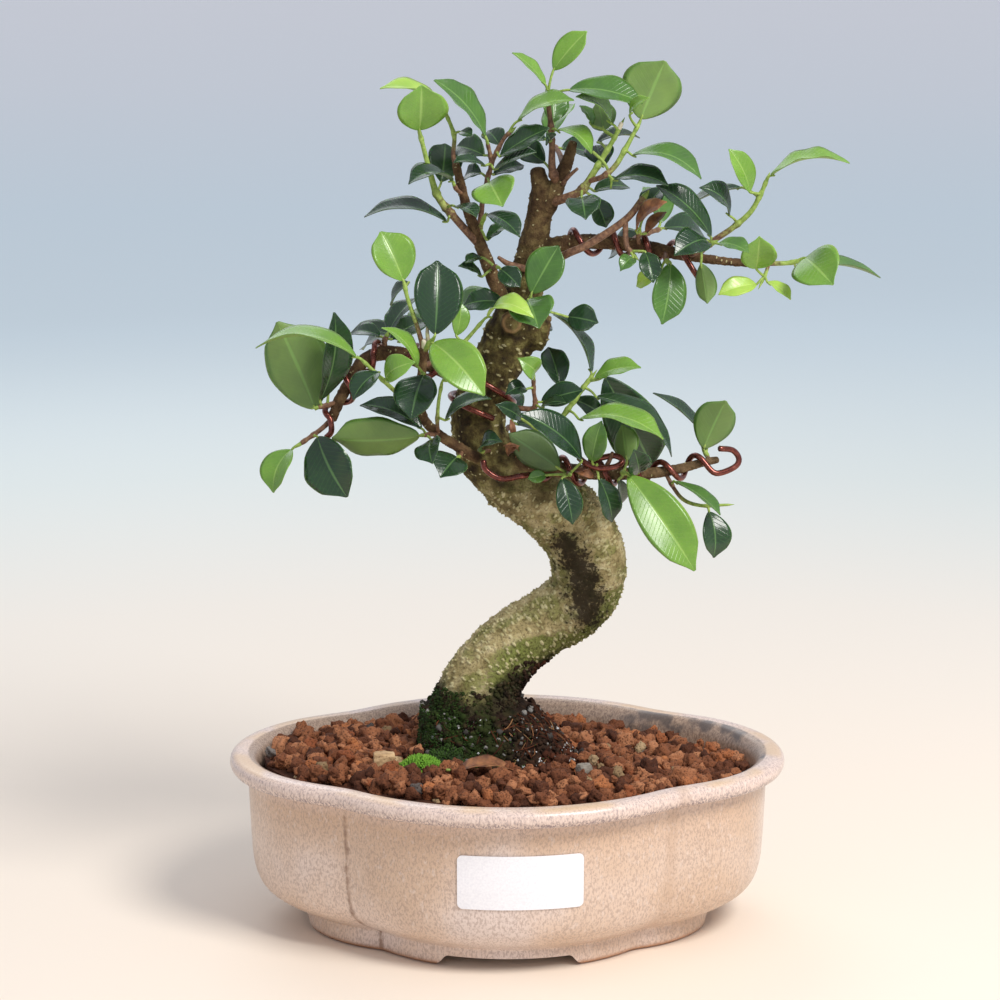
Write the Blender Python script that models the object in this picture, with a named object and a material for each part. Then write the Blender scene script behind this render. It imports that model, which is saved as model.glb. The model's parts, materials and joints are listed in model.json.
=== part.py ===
"""A small-leaved ficus bonsai, wired, in a lobed and glazed pot. Millimetres below, metres in Blender."""

import math

import bmesh
import bpy
from mathutils import Matrix, Quaternion, Vector
from mathutils.bvhtree import BVHTree

MM = 0.001

# ---------------------------------------------------------------- driving dimensions, in millimetres
POT_LENGTH = 190.0  # over the lip, left to right
POT_WIDTH = 150.0  # over the lip, front to back
POT_HEIGHT = 59.0
FOOT_LENGTH = 140.0
FOOT_WIDTH = 114.0
FOOT_HEIGHT = 7.0  # the straight band under the belly
FOOT_GAP_HEIGHT = 3.8  # the arch between two feet
FRONT_GAP = 40.0
SIDE_GAP = 26.0
FOOT_THICKNESS = 9.0
FLOOR_UNDERSIDE = 4.5
FLOOR_THICKNESS = 5.0
WALL = 5.0
LIP_HEIGHT = 6.5
LIP_OVERHANG = 6.5
NOTCH_ALONG = 0.60  # where two lobes meet, as a share of the half length
NOTCH_ACROSS = 0.667  # and of the half width
DRAIN_RADIUS = 6.0
DRAIN_SPACING = 68.0
SCREEN_SIDE = 20.0
SCREEN_THICKNESS = 1.0
LABEL_LENGTH = 40.7
LABEL_HEIGHT = 18.1
LABEL_THICKNESS = 0.5
LABEL_CENTRE = (3.7, 33.4)  # x and z on the front wall
SOIL_DEPTH_BELOW_RIM = 6.5
ROOT_BALL_LENGTH = 56.0
ROOT_BALL_WIDTH = 51.0
ROOT_BALL_RISE = 16.5  # its top above the rim
TREE_RISE = 17.0  # the trunk's foot above the rim
TREE_HEIGHT = 226.0  # from the trunk's foot to the highest leaf
WIRE_RADIUS = 1.0
LEAF_THICKNESS = 0.9
STALK_RADIUS = 0.55
GAP = 0.3  # left between pieces that touch

# ---------------------------------------------------------------- how the tree is drawn
DRAWN_FOOT = Vector((-10.0, 0.0, 76.0))
DRAWN_HEIGHT = 226.0
TREE_SCALE = TREE_HEIGHT / DRAWN_HEIGHT
EYE = Vector((-8.4, -946.0, 327.0))  # the tree was drawn from here: depths run along lines of sight

COLOURS = {
    "glaze": ((0.60, 0.45, 0.35), 0.28),
    "plastic_mesh": ((0.03, 0.03, 0.03), 0.6),
    "sticker": ((0.88, 0.88, 0.90), 0.5),
    "granules": ((0.27, 0.10, 0.045), 0.95),
    "root_soil": ((0.09, 0.045, 0.025), 0.95),
    "moss": ((0.28, 0.36, 0.05), 0.95),
    "pebble": ((0.42, 0.33, 0.22), 0.8),
    "dry_leaf": ((0.25, 0.12, 0.05), 0.8),
    "bark": ((0.24, 0.18, 0.10), 0.9),
    "twig_bark": ((0.20, 0.11, 0.06), 0.8),
    "wire": ((0.20, 0.05, 0.04), 0.3, 0.8),
    "leaf_dark": ((0.04, 0.11, 0.045), 0.35),
    "leaf_young": ((0.16, 0.37, 0.05), 0.4),
}

for old in list(bpy.data.objects):
    bpy.data.objects.remove(old, do_unlink=True)

plant = bpy.data.collections.new("bonsai")
bpy.context.scene.collection.children.link(plant)
stand = bpy.data.objects.new("bonsai_frame", None)
plant.objects.link(stand)
placed = []  # the solids that a new stem, leaf or wire has to keep clear of


# ---------------------------------------------------------------- small helpers
def material(slot):
    found = bpy.data.materials.get(slot)
    if found:
        return found
    colour, roughness, *metallic = COLOURS[slot]
    made = bpy.data.materials.new(slot)
    made.use_nodes = True
    shader = made.node_tree.nodes["Principled BSDF"]
    shader.inputs["Base Color"].default_value = (*colour, 1.0)
    shader.inputs["Roughness"].default_value = roughness
    shader.inputs["Metallic"].default_value = metallic[0] if metallic else 0.0
    made.diffuse_color = (*colour, 1.0)
    return made


def add(name, bm, slot, origin=Vector(), smooth=40.0):
    """The bmesh, drawn in millimetres, as an object whose origin is at the given point."""
    bmesh.ops.recalc_face_normals(bm, faces=bm.faces)
    bm.transform(Matrix.Diagonal((MM, MM, MM, 1.0)) @ Matrix.Translation(-origin))
    mesh = bpy.data.meshes.new(name)
    bm.to_mesh(mesh)
    bm.free()
    mesh.materials.append(material(slot))
    mesh.shade_smooth()
    mesh.set_sharp_from_angle(angle=math.radians(smooth))
    obj = bpy.data.objects.new(name, mesh)
    obj.location = origin * MM
    obj.parent = stand
    plant.objects.link(obj)
    return obj


def loft(bm, rings):
    """A closed skin over rings of equally many points, capped at both ends. A ring of one point is a tip."""
    loops = [[bm.verts.new(point) for point in ring] for ring in rings]
    for first, second in zip(loops, loops[1:]):
        count = max(len(first), len(second))
        for k in range(count):
            after = (k + 1) % count
            corners = [first[k % len(first)], first[after % len(first)]]
            corners += [second[after % len(second)], second[k % len(second)]]
            bm.faces.new(dict.fromkeys(corners))
    for end in (loops[0], loops[-1]):
        if len(end) > 2:
            bm.faces.new(end)


def smooth_path(points, step=3.0):
    """A Catmull-Rom curve through points of (x, y, z, radius), sampled about every step millimetres."""
    ends = [2 * points[0] - points[1], *points, 2 * points[-1] - points[-2]]
    path = []
    for before, start, end, after in zip(ends, ends[1:], ends[2:], ends[3:]):
        parts = max(1, round((end - start).xyz.length / step))
        for k in range(parts):
            t = k / parts
            path.append(
                0.5
                * (
                    2 * start
                    + t * (end - before)
                    + t * t * (2 * before - 5 * start + 4 * end - after)
                    + t * t * t * (3 * start - before - 3 * end + after)
                )
            )
    return [*path, points[-1]]


def tube_object(name, path, sides, extra=0.0):
    """A round bar along the path, as a mesh object in millimetres, each point carrying its own radius."""
    curve = bpy.data.curves.new(name, "CURVE")
    curve.dimensions = "3D"
    curve.bevel_depth = 1.0
    curve.bevel_resolution = sides // 2 - 2
    curve.use_fill_caps = True
    line = curve.splines.new("POLY")
    line.points.add(len(path) - 1)
    for point, (x, y, z, radius) in zip(line.points, path):
        point.co = (x, y, z, 1.0)
        point.radius = radius + extra
    guide = bpy.data.objects.new(name, curve)
    plant.objects.link(guide)
    graph = bpy.context.evaluated_depsgraph_get()
    mesh = bpy.data.meshes.new_from_object(guide.evaluated_get(graph))
    bar = bpy.data.objects.new(name, mesh)
    bar.matrix_world = guide.matrix_world
    plant.objects.link(bar)
    bpy.data.objects.remove(guide, do_unlink=True)
    bpy.data.curves.remove(curve)
    bm = bmesh.new()
    bm.from_mesh(mesh)
    bmesh.ops.remove_doubles(bm, verts=bm.verts, dist=0.01)
    bmesh.ops.recalc_face_normals(bm, faces=bm.faces)
    bm.to_mesh(mesh)
    bm.free()
    return bar


def loose_object(name, bm):
    bmesh.ops.recalc_face_normals(bm, faces=bm.faces)
    mesh = bpy.data.meshes.new(name)
    bm.to_mesh(mesh)
    bm.free()
    obj = bpy.data.objects.new(name, mesh)
    plant.objects.link(obj)
    return obj


def combined(base, others, operation):
    """The bmesh of base with the others joined to it or cut from it. All of them are used up."""
    operands = bpy.data.collections.new("operands")
    for other in others:
        operands.objects.link(other)
    joint = base.modifiers.new(operation, "BOOLEAN")
    joint.operation = operation
    joint.solver = "EXACT"
    joint.use_self = operation == "UNION"
    joint.operand_type = "COLLECTION"
    joint.collection = operands
    graph = bpy.context.evaluated_depsgraph_get()
    result = bmesh.new()
    mesh = bpy.data.meshes.new_from_object(base.evaluated_get(graph))
    result.from_mesh(mesh)
    bpy.data.meshes.remove(mesh)
    for used in [base, *others]:
        bpy.data.objects.remove(used, do_unlink=True)
    bpy.data.collections.remove(operands)
    bmesh.ops.remove_doubles(result, verts=result.verts, dist=0.002)
    return result


def tree_of(bm):
    return BVHTree.FromBMesh(bm)


def remember(bm):
    placed.append(tree_of(bm))


def clear(candidate, others=None):
    return not any(candidate.overlap(other) for other in (placed if others is None else others))


# ---------------------------------------------------------------- pot
BELLY = [(0.0, 0.0), (0.03, 0.2), (0.08, 0.5), (0.16, 0.76), (0.30, 0.90), (0.52, 0.95), (1.0, 1.0)]
LIP_BOTTOM = POT_HEIGHT - LIP_HEIGHT
FLOOR_TOP = FLOOR_UNDERSIDE + FLOOR_THICKNESS
SOIL_BOTTOM = FLOOR_TOP + SCREEN_THICKNESS + 3 * GAP
BASIN_LEVELS = (LIP_BOTTOM - 2.5, 30.0, 16.0, SOIL_BOTTOM + 0.8, SOIL_BOTTOM)
SIDE_STEPS = 8
FRONT_STEPS = 10


def body_half(z):
    """Half length and half width of the pot's outside at a height between the foot band and the lip."""
    up = min(max((z - FOOT_HEIGHT) / (LIP_BOTTOM - FOOT_HEIGHT), 0.0), 1.0)
    for (low, narrow), (high, wide) in zip(BELLY, BELLY[1:]):
        if up <= high:
            share = narrow + (wide - narrow) * (up - low) / (high - low)
            break
    top = (POT_LENGTH / 2 - LIP_OVERHANG, POT_WIDTH / 2 - LIP_OVERHANG)
    foot = (FOOT_LENGTH / 2, FOOT_WIDTH / 2)
    return tuple(f + share * (t - f) for f, t in zip(foot, top))


def inner_half(z, clearance=0.0):
    corner = 4.0 * max(0.0, 1.0 - (z - FLOOR_TOP) / 4.0)
    return tuple(half - WALL - corner - clearance for half in body_half(z))


def lobes(half_length, half_width, z):
    """One level of the pot: four arcs that meet in notches."""
    notch_x = NOTCH_ALONG * half_length
    notch_y = NOTCH_ACROSS * half_width
    rise = half_length - notch_x
    side_radius = (notch_y**2 + rise**2) / (2 * rise)
    side_angle = math.asin(notch_y / side_radius)
    depth = half_width - notch_y
    front_radius = (notch_x**2 + depth**2) / (2 * depth)
    front_angle = math.asin(notch_x / front_radius)
    ring = []
    for facing in (0, 1):
        sign = 1 - 2 * facing
        for k in range(SIDE_STEPS):
            a = side_angle * (2 * k / SIDE_STEPS - 1)
            x = half_length - side_radius + side_radius * math.cos(a)
            ring.append(Vector((sign * x, sign * side_radius * math.sin(a), z)))
        for k in range(FRONT_STEPS):
            a = front_angle * (1 - 2 * k / FRONT_STEPS)
            y = half_width - front_radius + front_radius * math.cos(a)
            ring.append(Vector((sign * front_radius * math.sin(a), sign * y, z)))
    return ring


def front_wall(x, z):
    """The y of the pot's front face."""
    half_length, half_width = body_half(z)
    notch_x = NOTCH_ALONG * half_length
    depth = half_width * (1 - NOTCH_ACROSS)
    radius = (notch_x**2 + depth**2) / (2 * depth)
    return -(half_width - radius + math.sqrt(radius**2 - x**2))


def pot():
    length, width = POT_LENGTH / 2, POT_WIDTH / 2
    foot_x, foot_y = FOOT_LENGTH / 2, FOOT_WIDTH / 2
    hollow_x, hollow_y = foot_x - FOOT_THICKNESS, foot_y - FOOT_THICKNESS
    rings = [
        lobes(hollow_x - 1, hollow_y - 1, FLOOR_UNDERSIDE),
        lobes(hollow_x, hollow_y, 0.0),
        lobes(foot_x - 1, foot_y - 1, 0.0),
        lobes(foot_x, foot_y, 1.0),
    ]
    for up, _ in BELLY:
        z = FOOT_HEIGHT + up * (LIP_BOTTOM - FOOT_HEIGHT)
        rings.append(lobes(*body_half(z), z))
    lip = [(5.0, 0.02), (1.4, 0.12), (0.0, 0.45), (0.4, 0.78), (2.2, 0.96), (4.4, 1.0), (6.4, 0.92)]
    for inset, up in lip:
        rings.append(lobes(length - inset, width - inset, LIP_BOTTOM + up * LIP_HEIGHT))
    for z in (LIP_BOTTOM + 0.5 * LIP_HEIGHT, *BASIN_LEVELS, FLOOR_TOP):
        rings.append(lobes(*inner_half(z), z))
    bm = bmesh.new()
    loft(bm, rings)
    shell = loose_object("pot_shell", bm)
    cutters = []
    for side in (-1, 1):
        bm = bmesh.new()
        bmesh.ops.create_cone(
            bm, cap_ends=True, segments=20, radius1=DRAIN_RADIUS, radius2=DRAIN_RADIUS, depth=30.0
        )
        bm.transform(Matrix.Translation((side * DRAIN_SPACING / 2, 0.0, FLOOR_TOP / 2)))
        cutters.append(loose_object("drain_cutter", bm))
    cutters.append(arch_cutter(FRONT_GAP, "X"))
    cutters.append(arch_cutter(SIDE_GAP, "Y"))
    bm = combined(shell, cutters, "DIFFERENCE")
    remember(bm)
    add("pot", bm, "glaze")


def arch_cutter(gap, along):
    """A bar with sloping ends that opens the foot ring right across."""
    slope = 4.0
    reach = POT_LENGTH
    section = [(-gap / 2 - slope, -2.0), (gap / 2 + slope, -2.0), (gap / 2, FOOT_GAP_HEIGHT)]
    section.append((-gap / 2, FOOT_GAP_HEIGHT))
    bm = bmesh.new()
    if along == "X":
        rings = [[Vector((x, y, z)) for x, z in section] for y in (-reach, reach)]
    else:
        rings = [[Vector((y, x, z)) for x, z in section] for y in (-reach, reach)]
    loft(bm, rings)
    return loose_object("arch_cutter", bm)


def drain_screens():
    bottom = FLOOR_TOP + GAP
    for name, side in (("drain_screen_left", -1), ("drain_screen_right", 1)):
        centre = Vector((side * DRAIN_SPACING / 2, 0.0, bottom + SCREEN_THICKNESS / 2))
        bm = bmesh.new()
        bmesh.ops.create_cube(bm, size=1.0)
        bm.transform(
            Matrix.Translation(centre) @ Matrix.Diagonal((SCREEN_SIDE, SCREEN_SIDE, SCREEN_THICKNESS, 1.0))
        )
        add(name, bm, "plastic_mesh", centre)


def label():
    """A blank sticker bent to the front wall, its corners rounded."""
    across, up = LABEL_CENTRE
    corner = 1.6
    stations = [(0.0, corner), (0.3 * corner, 0.3 * corner), (corner, 0.0)]
    inner = [LABEL_LENGTH * share for share in (0.25, 0.5, 0.75)]
    ends = [(LABEL_LENGTH - along, cut) for along, cut in reversed(stations)]
    rings = []
    for along, cut in [*stations, *((x, 0.0) for x in inner), *ends]:
        x = across - LABEL_LENGTH / 2 + along
        half = LABEL_HEIGHT / 2 - cut
        levels = [up - half, up, up + half]
        near = [Vector((x, front_wall(x, z) - GAP - LABEL_THICKNESS, z)) for z in levels]
        far = [Vector((x, front_wall(x, z) - GAP, z)) for z in levels]
        rings.append([*near, *reversed(far)])
    bm = bmesh.new()
    loft(bm, rings)
    add("label", bm, "sticker", Vector((across, front_wall(across, up), up)))


# ---------------------------------------------------------------- soil, root ball and what lies on them
BALL_CENTRE = Vector((-3.0, 0.0, 0.0))


def soil_height(x, y):
    slope = -3.0 * x / 80 - 2.5 * y / 60
    away = math.hypot(x - BALL_CENTRE.x, y)
    return POT_HEIGHT - SOIL_DEPTH_BELOW_RIM + slope + 5.0 * math.exp(-((away / 42) ** 2))


def root_ball_skin(extra=0.0):
    """Its outline drawn in towards the trunk as it rises."""
    top = POT_HEIGHT + ROOT_BALL_RISE
    bottom = POT_HEIGHT - 15.0
    levels = [(0.0, 0.96), (0.2, 1.0), (0.4, 0.96), (0.58, 0.87), (0.75, 0.78), (0.9, 0.70), (1.0, 0.64)]
    rings = []
    for up, share in levels:
        lean = (DRAWN_FOOT.x - BALL_CENTRE.x) * up**2
        z = bottom + up * (top - bottom) + (extra if up else -extra)
        ring = []
        for k in range(18):
            a = math.tau * k / 18
            lump = 1.0 + 0.035 * math.sin(3 * a + 5 * up) + 0.02 * math.sin(7 * a)
            x = BALL_CENTRE.x + lean + (ROOT_BALL_LENGTH / 2 * share * lump + extra) * math.cos(a)
            ring.append(Vector((x, (ROOT_BALL_WIDTH / 2 * share * lump + extra) * math.sin(a), z)))
        rings.append(ring)
    bm = bmesh.new()
    loft(bm, rings)
    return bm


def soil():
    clearance = GAP + 0.15
    rings = [lobes(*inner_half(z, clearance), z) for z in reversed(BASIN_LEVELS[1:])]
    for share in (1.0, 0.9, 0.72, 0.5, 0.25):
        ring = []
        for point in lobes(*inner_half(LIP_BOTTOM - 6.0, clearance), 0.0):
            x, y = point.x * share, point.y * share
            ring.append(Vector((x, y, soil_height(x, y))))
        rings.append(ring)
    bm = bmesh.new()
    loft(bm, rings)
    remember(bm)
    bed = loose_object("soil_bed", bm)
    pocket = loose_object("ball_pocket", root_ball_skin(2 * GAP))
    add("soil", combined(bed, [pocket], "DIFFERENCE"), "granules")


def root_ball():
    bm = root_ball_skin()
    remember(bm)
    ball = loose_object("ball", bm)
    socket = tube_object("trunk_socket", TRUNK[:6], 14, GAP)
    bm = combined(ball, [socket], "DIFFERENCE")
    add("root_ball", bm, "root_soil", Vector((BALL_CENTRE.x, 0.0, POT_HEIGHT)))


def beside_ball(angle, distance):
    """A place on the soil, this far out from the root ball's outline at an angle in degrees."""
    a = math.radians(angle)
    x = BALL_CENTRE.x + (ROOT_BALL_LENGTH / 2 + distance) * math.cos(a)
    y = BALL_CENTRE.y + (ROOT_BALL_WIDTH / 2 + distance) * math.sin(a)
    return Vector((x, y, soil_height(x, y)))


def pad_on_soil(name, slot, centre, half_length, half_width, height, turn=0.0):
    """A low dome whose underside follows the soil."""
    x, y = centre.xy
    rings = []
    for share, up in ((0.8, 0.0), (1.0, 0.35), (0.85, 0.75), (0.45, 1.0)):
        ring = []
        for k in range(10):
            a = math.tau * k / 10
            along, across = share * half_length * math.cos(a), share * half_width * math.sin(a)
            px = x + along * math.cos(turn) - across * math.sin(turn)
            py = y + along * math.sin(turn) + across * math.cos(turn)
            ring.append(Vector((px, py, soil_height(px, py) + 2 * GAP + up * height)))
        rings.append(ring)
    bm = bmesh.new()
    loft(bm, rings)
    add(name, bm, slot, Vector((x, y, soil_height(x, y))))


# ---------------------------------------------------------------- stems
def seen(x, z, depth):
    """The point that covers (x, z) of the drawing plane when pushed back by depth, on the real tree."""
    reach = (depth - EYE.y) / -EYE.y
    point = Vector((EYE.x + (x - EYE.x) * reach, depth, EYE.z + (z - EYE.z) * reach))
    foot = Vector((DRAWN_FOOT.x, DRAWN_FOOT.y, POT_HEIGHT + TREE_RISE))
    return foot + (point - DRAWN_FOOT) * TREE_SCALE


def drawn_path(points, step=3.0):
    """A smooth path from rows of x, z, depth and radius."""
    rows = [Vector((*seen(x, z, depth), radius * TREE_SCALE)) for x, z, depth, radius in points]
    return smooth_path(rows, step * TREE_SCALE)


TRUNK = drawn_path(
    [
        (-11.5, 66, 0, 16.6),
        (-10, 76, 0, 14.6),
        (-7.5, 84, 1, 12.8),
        (2, 95.5, 3, 11.6),
        (13.4, 103.4, 5, 11.2),
        (24.5, 111.5, 6, 12.0),
        (27.4, 122, 5, 12.6),
        (24.5, 133, 3, 12.8),
        (14, 144.5, 1, 12.3),
        (0, 154, 0, 11.0),
        (-8, 164, -1, 9.6),
        (-9.6, 175, -1, 8.8),
        (-5.8, 186, 0, 8.4),
        (-1, 196, 1, 8.5),
        (2.5, 204, 2, 8.4),
        (4.5, 212.6, 2, 6.6),
        (6.8, 222.6, 2, 5.3),
        (8.8, 232.6, 2, 4.9),
        (10.5, 241, 1, 4.6),
        (11, 249, 0, 3.9),
        (9.9, 255.6, 0, 3.0),
    ],
    5.5,
)


def trunk():
    stem = tube_object("trunk_stem", TRUNK, 14)
    stub_path = drawn_path([(2, 203, 1, 7.5), (8, 202.5, 1, 7.0), (13.2, 201.4, 1, 5.8)])
    stub = tube_object("cut_stub", stub_path, 12)
    scar = tube_object("pruning_scar", drawn_path([(1.3, 205, -3, 4.0), (1.3, 205, -8.6, 3.4)]), 10)
    bm = combined(stem, [stub, scar], "UNION")
    remember(bm)
    add("trunk", bm, "bark", seen(*[DRAWN_FOOT.x, DRAWN_FOOT.z], 0), 60.0)


def clear_start(path, sides):
    """The path without the stretch at its start that runs inside, or too near, what is already there."""
    for first in range(len(path) - 2):
        trial = tube_object("trial", path[first:], sides, 0.35)
        bm = bmesh.new()
        bm.from_mesh(trial.data)
        bpy.data.objects.remove(trial, do_unlink=True)
        is_clear = clear(tree_of(bm))
        bm.free()
        if is_clear:
            return path[first:]
    return path[-3:]


BRANCHES = {
    "left_branch": [
        (-7, 188, 0, 3.6),
        (-20, 189.5, 1, 3.2),
        (-30, 193, 0, 2.8),
        (-40, 195, -3, 2.5),
        (-47.5, 192.5, -6, 2.3),
        (-52, 186, -8, 2.1),
        (-56.5, 178, -10, 1.9),
        (-58.5, 172.5, -11, 1.6),
    ],
    "front_left_branch": [
        (-4, 157.5, -3, 2.2),
        (-9, 158.8, -11, 2.0),
        (-16, 163, -15, 1.8),
        (-23.5, 168, -18, 1.7),
        (-28.6, 174.5, -20, 1.6),
        (-28.6, 186.5, -22, 1.5),
        (-27.6, 197.5, -24, 1.5),
    ],
    "lower_right_branch": [
        (-3, 158.5, -2, 3.2),
        (6, 158, -11, 3.0),
        (14, 156, -14, 2.7),
        (24, 154.8, -15, 2.5),
        (36, 154.2, -15, 2.2),
        (47, 154.2, -14, 1.9),
        (57, 155.6, -13, 1.7),
        (66, 158, -12, 1.4),
        (70.5, 158.8, -12, 1.2),
    ],
    "upper_right_branch": [
        (8, 229, 2, 3.0),
        (18, 231.3, 0, 2.7),
        (31, 232, -3, 2.5),
        (44.5, 230.4, -5, 2.3),
        (56, 228, -6, 2.0),
        (64, 226.5, -6, 1.6),
        (74.5, 225.2, -6, 1.4),
        (83.5, 224.8, -6, 1.3),
    ],
    "upper_left_branch": [
        (2, 208, -1, 2.8),
        (-2.6, 215, -5, 2.5),
        (-7, 226, -5, 2.3),
        (-10, 234, -5, 2.0),
        (-13.6, 244, -6, 1.7),
        (-16, 253.5, -6, 1.5),
        (-17, 257.5, -7, 1.4),
    ],
    "apex_fork": [
        (10.5, 239, 1, 3.4),
        (14, 245.5, -1, 3.2),
        (17, 252, -1, 2.6),
        (19.7, 258.5, 0, 2.1),
        (21.6, 264.5, 0, 1.5),
    ],
}
CENTRE_LINES = {name: drawn_path(points) for name, points in BRANCHES.items()}


def branch(name):
    path = clear_start(drawn_path(BRANCHES[name], 1.5), 8)
    path = [*path[:1], *path[2:-1:2], path[-1]]
    bar = tube_object(name + "_bar", path, 8)
    bm = bmesh.new()
    bm.from_mesh(bar.data)
    bpy.data.objects.remove(bar, do_unlink=True)
    remember(bm)
    add(name, bm, "bark", path[0].xyz, 60.0)


# ---------------------------------------------------------------- training wires
def index_near(path, x, z):
    """Where on the path the point drawn at x, z lies, as an index."""
    target = seen(x, z, 0)
    return min(range(len(path)), key=lambda k: (path[k].xyz - target).length)


def wound(path, start, end, turns, phase, clearance):
    """Points of a helix on a stem, from one index of its path to another. Phase 0 is the front."""
    count = max(4, round(abs(turns) * 12))
    points = []
    for k in range(count + 1):
        along = start + (end - start) * k / count
        low = min(int(along), len(path) - 2)
        here = path[low].lerp(path[low + 1], along - low)
        tangent = (path[low + 1] - path[low]).xyz.normalized()
        front = Vector((0, -1, 0))
        front = (front - front.dot(tangent) * tangent).normalized()
        angle = phase + math.tau * turns * k / count
        out = math.cos(angle) * front + math.sin(angle) * tangent.cross(front)
        points.append(Vector((*(here.xyz + out * (here.w + WIRE_RADIUS + clearance)), WIRE_RADIUS)))
    return points


def wire(name, points, step=3.2):
    path = smooth_path(points, step)
    bar = tube_object(name + "_bar", path, 6)
    bm = bmesh.new()
    bm.from_mesh(bar.data)
    bpy.data.objects.remove(bar, do_unlink=True)
    remember(bm)
    add(name, bm, "wire", path[0].xyz)


def wires():
    hug = 0.5
    left = CENTRE_LINES["left_branch"]
    tail = [Vector((*seen(x, z, d), WIRE_RADIUS)) for x, z, d in ((-60.5, 166.5, -15), (-58.8, 168.5, -15))]
    coil = wound(left, index_near(left, -58.5, 172.5), index_near(left, -22, 190), 4.0, 0.2, hug)
    ring = wound(TRUNK, index_near(TRUNK, -6, 188), index_near(TRUNK, -10, 176), 1.25, -1.1, hug + 0.3)
    wire("wire_left", [*tail, *coil, *ring])
    low = CENTRE_LINES["lower_right_branch"]
    loop = [(-8.0, 158.5, -19.5), (-7.2, 155.5, -20), (-2, 152.4, -20.5), (5, 153.4, -21)]
    loop = [Vector((*seen(x, z, d), WIRE_RADIUS)) for x, z, d in loop]
    coil = wound(low, index_near(low, 14, 156.5), index_near(low, 65, 157.7), 4.9, 0.6, hug)
    hook = [(70, 154.2, -16), (76, 156.2, -15), (77.6, 159, -14), (75.5, 162, -14), (71, 162.6, -16)]
    hook = [Vector((*seen(x, z, d), WIRE_RADIUS)) for x, z, d in hook]
    wire("wire_lower_right", [*loop, *coil, *hook])
    high = CENTRE_LINES["upper_right_branch"]
    coil = wound(high, index_near(high, 17, 231.5), index_near(high, 57, 228), 3.5, 2.4, hug)
    end = [(60.2, 224.5, -11), (62.5, 221, -12), (64.6, 218, -12.5)]
    end = [Vector((*seen(x, z, d), WIRE_RADIUS)) for x, z, d in end]
    wire("wire_upper_right", [*coil, *end])


# ---------------------------------------------------------------- leaves
BLADE_STEPS = (0.12, 0.36, 0.62, 0.86)


def blade_half(t, width):
    """Half the width of the blade at a share t of its length: widest just past the middle."""
    return width / 2 * math.sin(math.pi * t**1.15) ** 0.8


def leaf_frame(base, tip, roll):
    """Along, normal and across. Roll 0 shows the upper face to the front, 90 turns it up."""
    along = (tip - base).normalized()
    sight = (EYE - base).normalized()
    facing = (sight - sight.dot(along) * along).normalized()
    over = facing.cross(along)
    if over.z < -0.2 or (abs(over.z) <= 0.2 and over.x < 0):
        over = -over
    normal = math.cos(math.radians(roll)) * facing + math.sin(math.radians(roll)) * over
    return along, normal, normal.cross(along)


def leaf_rings(root, base, tip, width, roll, arch, swell=0.0):
    """Four-point rings from the stalk's root to the blade's last step, then the tip."""
    along, normal, across = leaf_frame(base, tip, roll)
    length = (tip - base).length
    stalk = base - root
    if stalk.length < 1.2:
        stalk = along * 1.2
    direction = stalk.normalized()
    side = direction.cross(normal).normalized()
    up = side.cross(direction)
    thin = STALK_RADIUS + swell
    rings = []
    for start in (root, root + 0.55 * (base - root) + 0.08 * stalk.length * normal):
        rings.append([start + side * thin, start + up * thin, start - side * thin, start - up * thin])
    for t in BLADE_STEPS:
        bulge = 4 * arch * length * t * (1 - t)
        centre = base + along * (t * length) + normal * bulge
        half = blade_half(t, width) + swell
        thick = LEAF_THICKNESS / 2 + swell
        lift = 0.28 * half
        edge = centre + normal * lift
        upper, lower = centre + normal * thick, centre - normal * thick
        rings.append([edge - across * half, upper, edge + across * half, lower])
    rings.append([tip + along * swell])
    return rings


def leaf_bmesh(rings):
    bm = bmesh.new()
    loft(bm, rings)
    bmesh.ops.recalc_face_normals(bm, faces=bm.faces)
    return bm


def swings(root, tip):
    """Turns about the root, mildest first: in depth, then round the stem."""
    sideways = (tip - root).cross(Vector((0, 1, 0))).normalized()
    mild = ((0, 14, -14, 28, -28), (0, 7, -7, 14, -14, 21, -21, 28, -28, 36, -36))
    wide = ((0, 21, -21, 42, -42, 63, -63), (45, -45, 55, -55, 0, 18, -18))
    for twists, leans in (mild, wide):
        for twist in twists:
            for lean in leans:
                turn = Quaternion(Vector((0, 1, 0)), math.radians(twist))
                yield turn @ Quaternion(sideways, math.radians(lean))


def nearest_on(path, point):
    """The nearest point of the stem's centre line, kept a little inside its end."""
    inside = path[:-1] if len(path) > 2 else path
    return min((p.xyz for p in inside), key=lambda p: (p - point).length)


def grown_leaf(path, row, own):
    """The first swing of the leaf that touches nothing else."""
    (bx, bz, bd), (tx, tz, td), width, roll, arch = row
    base, tip = seen(bx, bz, bd), seen(tx, tz, td)
    width *= TREE_SCALE
    root = nearest_on(path, base)
    for turn in swings(root, tip):
        b, t = root + turn @ (base - root), root + turn @ (tip - root)
        fat = leaf_rings(root, b, t, width, roll, arch, 0.45)
        whole, blade = leaf_bmesh(fat), leaf_bmesh(fat[2:])
        shapes = tree_of(whole), tree_of(blade)
        whole.free()
        blade.free()
        if clear(shapes[0]) and clear(shapes[1], own):
            break
    else:
        print("no free place for a leaf at", row)
        b, t = base, tip
    bm = leaf_bmesh(leaf_rings(root, b, t, width, roll, arch))
    own.append(tree_of(bm))
    return loose_object("leaf", bm)


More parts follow.
